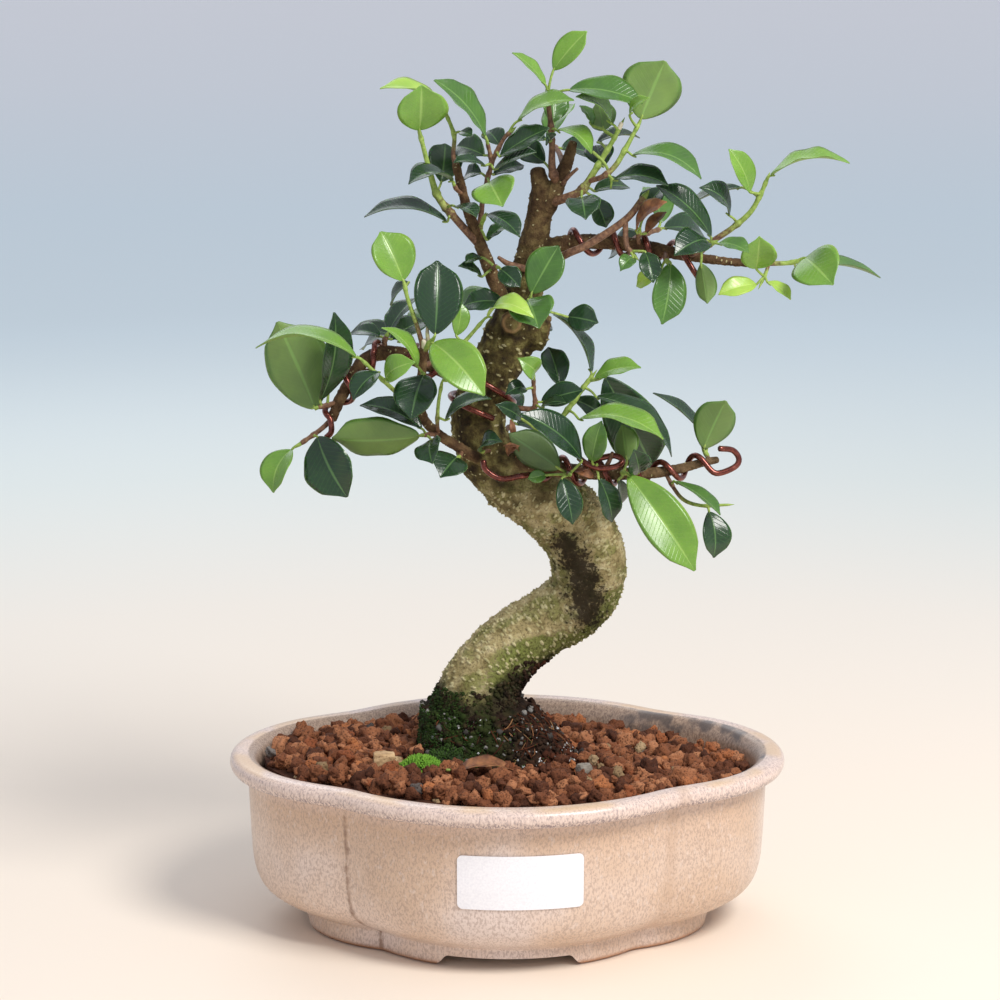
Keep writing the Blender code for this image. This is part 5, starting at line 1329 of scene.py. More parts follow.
LEFT, LOW, HIGH = (BRANCH_LINES[n] for n in ("left_branch", "lower_right_branch", "upper_right_branch"))
WIRES = {
    "wire_left": [[
        *by_hand((-60.5, 166.5, -15), (-58.8, 168.5, -15)),
        *wound(LEFT, (-58.5, 172.5), (-22, 190), 4.0, 0.2, HUG),
        *wound(TRUNK_LINE, (-6, 188), (-10, 176), 1.25, -1.1, HUG + 0.3),
    ]],
    "wire_lower_right": [[
        *by_hand((-8.0, 158.5, -19.5), (-7.2, 155.5, -20), (-2, 152.4, -20.5), (5, 153.4, -21)),
        *wound(LOW, (14, 156.5), (65, 157.7), 4.9, 0.6, HUG),
        *by_hand((70, 154.2, -16), (76, 156.2, -15), (77.6, 159, -14), (75.5, 162, -14), (71, 162.6, -16)),
    ], by_hand(
        (24.0, 159.5, -20), (26.5, 157.6, -22), (31, 156.0, -23), (36.5, 156.6, -23), (38.6, 158.6, -22),
        (36.0, 160.2, -21), (31, 159.4, -20.6), (27.5, 158.4, -20))],
    "wire_upper_right": [[
        *wound(HIGH, (17, 231.5), (57, 228), 3.5, 2.4, HUG),
        *by_hand((60.2, 224.5, -11), (62.5, 221, -12), (64.6, 218, -12.5)),
    ]],
}
copper = Finish("anodised_wire", 0.28, Metallic=0.75, Coat_Weight=0.3)
scuff = copper.cloud(1.8, 4.0, 0.65)
copper.colour(copper.shades(scuff, (0.3, 82, 36, 30), (0.55, 116, 58, 46), (0.75, 150, 92, 76)))
copper.rough(copper.calc("ADD", copper.both(scuff, 0.3), 0.14))
copper.bumpy(copper.cloud(0.8, 3.0), 0.04, 0.5)
for node, paths in WIRES.items():
    skin = Skin()
    for path in paths:
        skin.stack(tube_rings(smooth_path(path, 0.9), 14))
    piece("copper_" + node, skin.mesh(node), [copper.material], "wire", node)
    print(node, sum(len(path) for path in paths), "points")

# %% [markdown]
# ## Leaves
# A ficus leaf is a thin leathery blade, widest past its middle, folded a little along the midrib and
# drawn out to a drip tip. It is glossy and deep green above, dull and paler below, and bright green
# while young. Each is modelled as a thin closed shell: rows of points across the blade, over the upper
# face one way and back under the lower. A flat card with a picture on it would be lighter, but it has
# no edge to catch the light and no underside. Four numbers go on the points: how far across, where
# the side veins run, which face, and how young the leaf is.

# %% Shape of one leaf
BLADE_T = np.array([0.012, 0.04, *np.linspace(0.09, 0.93, 15), 0.965, 0.99])
BLADE_U = np.linspace(-1, 1, 11)
HALF_THICK, RIB_HEIGHT, RIB_WIDTH = 0.17, 0.34, 0.42
VEIN_PITCH, VEIN_LEAN = 1.7, 0.75
YOUTH = {"dark": 0.03, "mid": 0.36, "young": 0.58, "lime": 0.88, "dry": 0.2}


def leaf_frame(base, tip, roll):
    """Along, normal and across. Roll 0 shows the upper face to the front, 90 turns it up."""
    along = (tip - base).normalized()
    sight = (EYE - base).normalized()
    facing = (sight - sight.dot(along) * along).normalized()
    over = facing.cross(along)
    if over.z < -0.2 or (abs(over.z) <= 0.2 and over.x < 0):
        over = -over
    normal = math.cos(math.radians(roll)) * facing + math.sin(math.radians(roll)) * over
    return along, normal, normal.cross(along)


def blade(skin, base, tip, frame_of_leaf, width, arch, look):
    """One leaf as a closed shell, built a rib at a time from its stalk to its tip."""
    along, normal, across = (np.array(v) for v in frame_of_leaf)
    length = (tip - base).length
    ripple, phase = draw.uniform(0.008, 0.035) * width, draw.uniform(0, math.tau)
    twist, tone = draw.normal() * 0.10, draw.random()
    waves = draw.uniform(1.5, 3.0)
    u = BLADE_U
    round_trip = np.concatenate([u, u[-2:0:-1]])
    below = np.concatenate([np.zeros(len(u)), np.ones(len(u) - 2)])
    rings, veins = [], []
    for t in BLADE_T:
        drawn_out = 1 - 0.55 * float(blend(0.80, 1.0, t))
        half = max(width / 2 * math.sin(math.pi * t**1.08) ** 0.62 * drawn_out, 0.16)
        middle = np.array(base) + along * t * length * 0.997 + normal * (4 * arch * length * t * (1 - t))
        wave = np.sin(waves * math.tau * t + phase + u) * u**2 * min(half, 2) / 2
        fold = 0.28 * half * np.abs(u) ** 1.25 + ripple * wave
        turn = twist * (t - 0.4)
        sideways = across * math.cos(turn) + normal * math.sin(turn)
        sheet = middle + np.outer(u * half, sideways) + np.outer(fold, normal)
        thick = HALF_THICK * np.minimum(1.0, 2.2 * (1 - np.abs(u)) + 0.35)
        rib = RIB_HEIGHT * np.exp(-((u * half / RIB_WIDTH) ** 2)) * (1 - 0.75 * t)
        upper = sheet + np.outer(thick - 0.25 * rib, normal)
        lower = sheet - np.outer(thick + rib, normal)
        rings.append(np.concatenate([upper, lower[-2:0:-1]]))
        veins.append((t * length - VEIN_LEAN * np.abs(round_trip) * half) / VEIN_PITCH)
    skin.stack(rings, across=np.tile(np.abs(round_trip), len(rings)), vein=np.concatenate(veins),
               under=np.tile(below, len(rings)), youth=YOUTH[look] + 0.10 * (tone - 0.5),
               dry=float(look == "dry"))

print("points in a blade", len(BLADE_T) * (2 * len(BLADE_U) - 2))

# %% Stalk of one leaf
STALK_RADII = (0.55, 0.42, 0.42, 0.30)


def stalk(skin, root, base, frame_of_leaf, youth):
    """The leaf's own stalk, from the twig to a little way up the back of the blade."""
    along, normal, _ = frame_of_leaf
    middle = root.lerp(base, 0.55) + 0.08 * (base - root).length * normal
    end = base + along * 1.6 - 0.15 * normal
    rows = [Vector((*p, r)) for p, r in zip((root, middle, base, end), STALK_RADII)]
    skin.stack(tube_rings(smooth_path(rows, 0.7), 8), part=1, green=0.55 + 0.45 * youth, shade=draw.random())


print("stalks taper from", STALK_RADII[0], "to", STALK_RADII[-1], "mm")

# %% [markdown]
# ## Finding each leaf's swing
# The model drew each leaf from a base and a tip, and where it touched a neighbour it swung the leaf
# about its stalk until it hung free. The search for free room isn't repeated here. Every swing is tried
# in the same order, and the one whose tip is a corner of the model's own leaf is the right one, which
# a k-d tree of those corners finds at once.


# %% Swings and stems
MILD = ((0, 14, -14, 28, -28), (0, 7, -7, 14, -14, 21, -21, 28, -28, 36, -36))
WIDE = ((0, 21, -21, 42, -42, 63, -63), (45, -45, 55, -55, 0, 18, -18))
ROOTS_TRIED, SAME_PLACE = 5, 0.03


def swings(root, tip):
    """Turns to the side and up or down, the gentle ones first."""
    sideways = (tip - root).cross(Vector((0, 1, 0))).normalized()
    for twists, leans in (MILD, WIDE):
        for twist in twists:
            for lean in leans:
                turn = Quaternion(Vector((0, 1, 0)), math.radians(twist))
                yield turn @ Quaternion(sideways, math.radians(lean))


def swung(corners, path, base, tip):
    """Root, base and tip of the leaf where the model has it, and how far off its tip is."""
    best = None
    for root in sorted((p.xyz for p in path), key=lambda p: (p - base).length)[:ROOTS_TRIED]:
        for turn in swings(root, tip):
            there = root + turn @ (tip - root)
            off = corners.find(there)[2]
            if best is None or off < best[3]:
                best = (root, root + turn @ (base - root), there, off)
            if off < SAME_PLACE:
                return best
    return best


def model_corners(node):
    return tree_of([(np.array(v.co) - UNDER_POT) / MM for v in frame["nodes"][node].data.vertices])


def stem(skin, rows, roots, woody):
    """One twig, swollen where a leaf leaves it, ending in a pointed bud sheath."""
    path = drawn_path(rows, 0.8)
    for point in path:
        near = min([(point.xyz - root).length for root in roots], default=9.0)
        point.w *= 0.74 + 0.26 * math.exp(-((near / 0.9) ** 2))
    sections = tube_rings(path, 10)
    green = np.repeat(np.linspace(0.05, 0.95 - 0.6 * woody, len(sections)), 10)
    skin.stack(sections, part=1, green=green, shade=draw.random())
    end = path[-1]
    way = (path[-1] - path[-3]).xyz.normalized()
    long = draw.uniform(2.2, 4.0)
    bud = [Vector((*(end.xyz + way * long * t), max(end.w * share, 0.07)))
           for t, share in ((-0.1, 0.85), (0.15, 1.0), (0.45, 0.72), (0.8, 0.34), (1.0, 0.1))]
    skin.stack(tube_rings(smooth_path(bud, 0.5), 8), part=1, green=1.0, shade=0.9)


print("swings tried for a leaf, at most", ROOTS_TRIED * sum(len(a) * len(b) for a, b in (MILD, WIDE)))


# %% [markdown]
# ## Leaf and twig finishes
# The blade's colour is a ramp from deep to lime green, read with the painted youth. The midrib and a
# hairline margin are paler, side veins are faint lines that bend forward from the midrib, and the
# lower face is duller and rougher. A lower roughness gives the wax of the upper face. Twigs run from brown
# corky bark at the base to green at the tip.

# %% Leaf finish
leafy = Finish("ficus_leaf", 0.35, Subsurface_Weight=0.12, Subsurface_Scale=0.001, Specular_IOR_Level=0.5)
leafy.shader.inputs["Subsurface Radius"].default_value = (0.5, 1.0, 0.2)
across, under, youth = leafy.painted("across"), leafy.painted("under"), leafy.painted("youth")
ripe = leafy.broken(youth, leafy.cloud(7.0, 3.0), 0.30)
upper = leafy.shades(ripe, (0.0, 32, 56, 34), (0.14, 44, 70, 38), (0.36, 74, 112, 46), (0.72, 124, 164, 60),
                     (1.0, 174, 202, 86))
lower = leafy.shades(ripe, (0.0, 82, 104, 58), (0.36, 104, 130, 66), (0.72, 138, 170, 76),
                     (1.0, 182, 206, 104))
leafy.colour(leafy.mix(under, upper, lower))
vein_wave = leafy.calc("PINGPONG", leafy.painted("vein"), 0.5)
vein_line = leafy.both(leafy.step(0.10, 0.0, vein_wave), leafy.step(0.03, 0.12, across))
midrib, margin = leafy.step(0.075, 0.02, across), leafy.step(0.93, 0.985, across)
pale = leafy.shades(ripe, (0.0, 92, 128, 74), (0.4, 128, 166, 84), (1.0, 200, 220, 120))
for mask, share in ((vein_line, 0.10), (midrib, 0.62), (margin, 0.65)):
    leafy.cover(pale, mask, share)
husk = leafy.shades(leafy.cloud(2.5, 4.0), (0.35, 96, 58, 38), (0.65, 156, 104, 66))
leafy.cover(husk, leafy.painted("dry"))
waxy = leafy.calc("ADD", leafy.both(under, 0.26), leafy.both(youth, 0.10))
waxy = leafy.calc("ADD", waxy, leafy.both(leafy.painted("dry"), 0.3))
leafy.rough(leafy.calc("ADD", waxy, leafy.calc("ADD", leafy.both(leafy.cloud(3.0, 2.0), 0.10), 0.16)))
relief = leafy.calc("SUBTRACT", leafy.both(leafy.cloud(1.6, 3.0), 0.5), leafy.both(vein_line, 0.5))
leafy.bumpy(leafy.calc("SUBTRACT", relief, leafy.both(midrib, 1.1)), 0.09, 0.6)
print("nodes in the leaf", len(leafy.tree.nodes))

# %% Twig finish
twig = Finish("twig_bark", 0.6, Specular_IOR_Level=0.35)
cork = twig.cloud(1.2, 4.0, 0.65)
twig.colour(twig.shades(cork, (0.35, 84, 56, 42), (0.65, 140, 104, 78)))
fresh = twig.shades(cork, (0.35, 118, 146, 58), (0.65, 160, 180, 92))
twig.cover(fresh, twig.step(0.30, 0.62, twig.broken(twig.painted("green"), cork, 0.5)))
twig.cover(paint(232, 220, 196), twig.painted("cream"))
twig.cover(paint(150, 96, 84), twig.painted("pink"))
twig.bumpy(cork, 0.12, 0.6)
print("nodes in the twig", len(twig.tree.nodes))

# %% [markdown]
# ## The forty sprays
# A spray is one twig, sometimes forked, and the leaves on it: the unit in which the tree was drawn and
# in which the model holds it. Each row gives a twig as x, height, depth and radius, and each leaf as
# its look, base, tip, width, roll about its own length, and arch. Reading the list from the left
# branch round to the back is reading the tree.

# %% Rows of the sprays on the left
SPRAYS = {
    "spray_left_tip": ("leaf_dark", [
        [(-57.5, 174, -10, 1.3), (-62, 169.5, -13, 1.1), (-69, 164.5, -15, 0.9)]], [
        ("young", (-72, 162.5, -16), (-78.5, 147.5, -22), 12, 40, 0.2),
        ("dark", (-63.5, 166.8, -16), (-53.5, 146, -24), 17, -20, 0.12)]),
    "spray_left_rise": ("leaf_dark", [
        [(-56, 178.5, -9, 1.2), (-60, 177.5, -13, 1), (-63, 176.8, -14, 0.9)]], [
        ("mid", (-64, 176, -14), (-76.5, 205.8, -10), 22, 168, 0.06),
        ("dark", (-62.5, 179, -15), (-57.5, 209, -18), 14, 48, 0.1),
        ("dark", (-59.5, 182.5, -15), (-52, 194.5, -16), 6, 30, 0.1)]),
    "spray_left_shoot": ("leaf_young", [
        [(-28.5, 174, -20, 1.1), (-33, 178, -25, 1), (-40, 184.5, -30, 0.95), (-48, 192.3, -34, 0.7)]], [
        ("young", (-50, 193.5, -35), (-84, 196.5, -28), 14, 74, 0.17),
        ("dark", (-42.5, 188.5, -33), (-51.5, 179, -39), 9, 40, 0.15),
        ("young", (-40.5, 186.2, -32), (-30.5, 192, -39), 9, 30, 0.2)]),
    "spray_left_crown": ("leaf_dark", [
        [(-40, 194, -3, 1.3), (-40.8, 198.5, -3, 1.1), (-40.2, 200.5, -3, 0.9)]], [
        ("dark", (-39.5, 201, -2), (-29.5, 213.5, 4), 11, 60, 0.1),
        ("dark", (-38.5, 199.5, -2), (-27, 205.5, 8), 9, 35, 0.1),
        ("dark", (-42, 200.5, -2), (-52, 201, 4), 8, 55, 0.15)]),
    "spray_front_left_low": ("leaf_dark", [
        [(-23, 167.7, -18, 1.2), (-26, 167.5, -23, 1), (-28, 167.3, -25, 0.9)]], [
        ("mid", (-29, 167, -26), (-59.5, 165.5, -24), 15, 150, -0.06),
        ("dark", (-28.3, 169.3, -26), (-50, 177, -22), 11, 50, 0.12),
        ("dark", (-25.5, 165.8, -26), (-25, 157.5, -38), 10, -30, 0.1)]),
    "spray_front_left_under": ("leaf_dark", [
        [(-15, 162.3, -14, 1), (-15.6, 160.5, -18, 0.9), (-16, 160, -20, 0.8)]], [
        ("dark", (-16.8, 159.8, -22), (-22.5, 152.8, -32), 12, 15, 0.1)]),
    "spray_trunk_notch": ("leaf_dark", [
        [(-4, 162, -2, 1), (-6.5, 162, -12, 0.9), (-8, 161.6, -17, 0.8)]], [
        ("dark", (-8.8, 161.5, -18.5), (-1.6, 165, -24), 8, 60, 0.3)]),
    "spray_front_left_knee": ("leaf_dark", [
        [(-28.6, 186, -22, 1.2), (-28.2, 187.3, -26, 1.1), (-28, 187.8, -28, 1)]], [
        ("dark", (-27.8, 187.7, -30), (-32, 172.5, -40), 14.5, 20, 0.1),
        ("young", (-29.8, 190.3, -28), (-42, 203.5, -27), 9, 62, 0.15)]),
    "spray_front_left_riser": ("leaf_young", [
        [(-23, 168, -18, 1), (-23.4, 171, -23, 0.9), (-23, 178, -25, 0.8), (-22, 184, -26, 0.7)]], [
        ("dark", (-20.8, 172.3, -26), (-5.2, 179.6, -27), 10, 65, 0.15),
        ("lime", (-21.5, 185.6, -27), (-14.6, 190.4, -30), 6, 35, 0.1)]),
    "spray_bud": ("leaf_young", [
        [(-27.8, 194.5, -23, 1.3), (-26.5, 197.2, -27, 1.2), (-25.3, 198.8, -29, 1.1)]], [
        ("dark", (-24, 201, -27), (-23.2, 226, -18), 16.5, 12, 0.06),
        ("young", (-24.8, 198.3, -31), (-7.4, 180.3, -46), 15, 15, 0.15)]),
    "spray_bud_shoot": ("leaf_young", [
        [(-27.8, 196, -24, 1.2), (-30, 204, -26, 1), (-33, 213, -27, 0.9), (-34, 217.5, -27, 0.8)]], [
        ("young", (-34.4, 219, -27), (-42, 235.5, -24), 15, 20, 0.06),
        ("dark", (-32.6, 218.6, -25), (-38.5, 210.5, -20), 8, 72, 0.1)]),
    "spray_green_shoot": ("leaf_young", [
        [(-28, 190.5, -22, 1.2), (-21, 193.6, -21, 1), (-15, 198, -20, 0.95), (-8.5, 205.3, -19, 0.7)]], [
        ("young", (-17, 200.7, -20), (-15.5, 212, -18), 6.5, 25, 0.1),
        ("lime", (-6.5, 207, -20), (9, 206.5, -32), 9, 55, 0.28)]),
}
print("sprays so far", len(SPRAYS))

# %% Rows of the sprays on the trunk and the lower right
SPRAYS |= {
    "spray_trunk_front": ("leaf_dark", [
        [(5, 206, 0, 1.4), (7.2, 210, -10, 1.2), (7.4, 212.5, -15, 1), (7.6, 213.4, -16, 0.9)]], [
        ("mid", (8, 214.8, -17), (17, 230.8, -15), 12.5, 10, 0.05),
        ("mid", (6.8, 212.6, -19), (10.5, 203, -32), 15, 5, 0.12),
        ("dark", (20, 207, -10), (30.3, 205, -14), 9.5, 15, 0.1),
        ("dark", (-1, 211.6, -14), (-15, 210.5, -12), 9, 35, 0.15)]),
    "spray_trunk_right": ("leaf_dark", [
        [(-3, 176, -2, 1.4), (3, 176.3, -11, 1.3), (9, 176.6, -14, 1.1), (8.8, 182, -15, 0.9),
         (8.7, 186.5, -16, 0.8)]], [
        ("young", (8.8, 187.8, -17), (3.3, 193.3, -24), 7.5, 20, 0.3),
        ("dark", (6.3, 182.8, -17), (-0.7, 181, -22), 6, 30, 0.25),
        ("dark", (11.3, 178.4, -15), (25.5, 182.5, -20), 8.5, 25, 0.05),
        ("dark", (11, 176.6, -17), (19.5, 178.3, -23), 6, 60, 0.1)]),
    "spray_side_shoot": ("leaf_young", [
        [(-2, 160.5, -2, 1.9), (4.5, 163, -10, 1.6), (12.5, 167, -13, 1.3), (18, 173, -14, 1.2),
         (22, 178.5, -14, 1.1), (25.5, 183.5, -14, 1), (27.6, 186.3, -14, 0.8)]], [
        ("dark", (28, 188.3, -14), (14.5, 208.6, -6), 12, 76, 0.12),
        ("young", (29, 186.3, -15), (44.7, 190, -20), 9, 50, 0.12),
        ("dark", (32.5, 187, -6), (49, 155.8, 8), 19, 5, 0.05),
        ("dark", (22.2, 179.3, -10), (31, 174.3, -4), 7, 25, 0.1),
        ("dark", (29.5, 180.3, -17), (55.2, 159.5, -10), 12, 62, 0.16),
        ("young", (24.5, 172.6, -19), (54.2, 165.8, -28), 13, 60, 0.15),
        ("dark", (17, 184.5, -6), (12.5, 198.5, 2), 9.5, 20, 0.08),
        ("dark", (4.7, 172.8, -19), (-4, 177.6, -27), 5.5, 25, 0.1)]),
    "spray_lower_right_inner": ("leaf_dark", [
        [(20, 155.3, -14.5, 1.2), (20.3, 154, -20, 1), (20.8, 153.8, -23, 0.9)]], [
        ("dark", (18.3, 152.6, -24), (22, 136.6, -28), 9, 15, 0.1),
        ("dark", (25, 158.5, -25), (4, 174.6, -32), 13, 45, 0.12),
        ("dark", (17.5, 157.5, -20), (8, 170, -4), 12, 170, 0.05),
        ("mid", (13, 153.6, -22), (6.8, 152.4, -24), 4.5, 10, 0.1)]),
    "spray_lower_right_second": ("leaf_dark", [
        [(29.5, 155, -15, 1.1), (29.6, 156, -20, 1), (29.8, 156.6, -22, 0.9)]], [
        ("mid", (28.4, 158.6, -24), (31.5, 173.4, -27), 8.5, 15, 0.08),
        ("dark", (30.6, 152.6, -24), (35.2, 137.3, -22), 9, 35, 0.1)]),
    "spray_lower_right_third": ("leaf_young", [
        [(38.5, 154.3, -15, 1.2), (38.6, 154.5, -20, 1.1), (39.3, 154.3, -23, 0.9)]], [
        ("young", (40.5, 153.6, -25), (63.6, 120.3, -36), 16, 12, 0.08),
        ("dark", (37.4, 152.2, -23), (36, 139.5, -17), 7, 60, 0.1),
        ("mid", (40, 158.5, -20), (38.2, 171, -14), 9, 160, 0.05),
        ("dark", (44, 154.3, -23), (42.3, 162.4, -31), 8.5, 20, 0.1)]),
    "spray_lower_right_hanging": ("leaf_young", [
        [(53, 155, -13.5, 1.1), (54.5, 151.5, -16, 0.9), (58.8, 145.5, -18, 0.9), (65, 143.2, -19, 0.8),
         (73.5, 143.4, -20, 0.6)]], [
        ("mid", (56, 151.5, -19), (71.8, 139.8, -30), 9, 68, 0.06),
        ("dark", (67.8, 141.2, -20), (69.6, 125, -24), 11, 30, 0.15)]),
    "spray_lower_right_end": ("leaf_young", [
        [(67.5, 158.3, -12, 1.1), (67, 160, -8, 1), (66, 161.6, -6, 0.9)]], [
        ("mid", (65.6, 162.5, -7), (73, 179, -10), 14, 168, 0.06),
        ("dark", (66.5, 166.5, -1), (48.3, 181.6, 6), 11, 74, 0.06)]),
}
print("sprays so far", len(SPRAYS))

# %% Rows of the sprays on the upper right
SPRAYS |= {
    "spray_cut_twig": ("twig_bark", [
        [(7, 219, 0, 2.1), (18, 227, -11, 1.8), (27, 231.2, -14, 1.7), (39, 239.3, -14, 1.6),
         (44.8, 246.5, -13, 1.4)],
        [(38.8, 239.2, -14, 1.3), (39.3, 231, -15, 1.2), (41.5, 227.8, -16, 0.9)]], [
        ("mid", (41.5, 226.6, -18), (37.3, 222.2, -24), 5.5, 20, 0.2),
        ("dark", (45.5, 228.6, -18), (48.3, 218.2, -24), 7.5, 15, 0.1)]),
    "spray_upper_right_front": ("leaf_dark", [
        [(60, 227.2, -6, 1.5), (64, 229.5, -12, 1.3), (67.5, 231.3, -15, 1.1)]], [
        ("dark", (66, 232.3, -17), (55, 227.3, -29), 11, 30, 0.15),
        ("mid", (69.5, 231.3, -17), (80, 228.2, -24), 8, 55, 0.1),
        ("dark", (67.3, 233.3, -15), (48.6, 250.6, -17), 12, 55, 0.1),
        ("mid", (64, 224.8, -15), (66.3, 211.2, -18), 7.5, 160, 0.05)]),
    "spray_upper_right_rise": ("leaf_young", [
        [(62, 226.8, -6, 1.5), (67, 231.5, -2, 1.4), (74, 236.3, -2, 1.3), (80, 241.6, -3, 1.2),
         (83.3, 247.5, -4, 1), (85.3, 252.3, -4, 0.8)]], [
        ("young", (79.8, 248.2, -7), (72.5, 262.5, -10), 9, 40, 0.1),
        ("young", (86.3, 253.6, -5), (112.8, 257.6, -10), 13, 74, 0.15),
        ("dark", (73.2, 240.5, -5), (63, 249.8, -10), 11, 60, 0.2),
        ("dark", (77, 249.8, 2), (58, 242.5, 6), 9, 76, 0.08)]),
    "spray_upper_right_end": ("leaf_young", [
        [(84, 224.8, -6, 1.2), (88.5, 224.7, -7, 1.1), (93, 224.9, -7, 1), (96.5, 225.6, -8, 0.8)],
        [(86.5, 224.8, -6.5, 0.9), (85.5, 221.5, -9, 0.8), (84.6, 219.4, -10, 0.7)]], [
        ("young", (98.5, 226.6, -9), (108, 217.5, -26), 17, 10, 0.1),
        ("mid", (95.5, 223.3, -4), (123.8, 219.8, 0), 12, 76, 0.1),
        ("young", (82.3, 223, -12), (83.2, 233.8, -19), 12, 10, 0.08),
        ("lime", (82.5, 217.8, -11), (69.8, 214.3, -16), 7.5, 30, 0.1),
        ("lime", (86, 218.6, -11), (94, 212.6, -16), 5.5, 50, 0.1)]),
    "spray_upper_right_curl": ("leaf_dark", [
        [(43.5, 230.7, -5, 1.2), (43.2, 233.4, -10, 1), (43.5, 235, -12, 0.9)]], [
        ("dry", (42.6, 236, -14), (53.2, 246.3, -20), 8, 60, 0.15),
        ("dark", (44.8, 239.8, -9), (51.5, 250, -4), 9, 40, 0.1),
        ("dry", (45.6, 234.6, -13), (52.5, 241.8, -11), 5, 45, 0.1)]),
    "spray_upper_right_hanging": ("leaf_dark", [
        [(52, 228.6, -6, 1.3), (52.3, 226.8, -11, 1.1), (52.6, 225.8, -13, 1)]], [
        ("mid", (54, 224.8, -15), (51.2, 204.2, -22), 12, 20, 0.08),
        ("lime", (50.8, 222.4, -11), (42.7, 217, -6), 6, 30, 0.1)]),
}
print("sprays so far", len(SPRAYS))

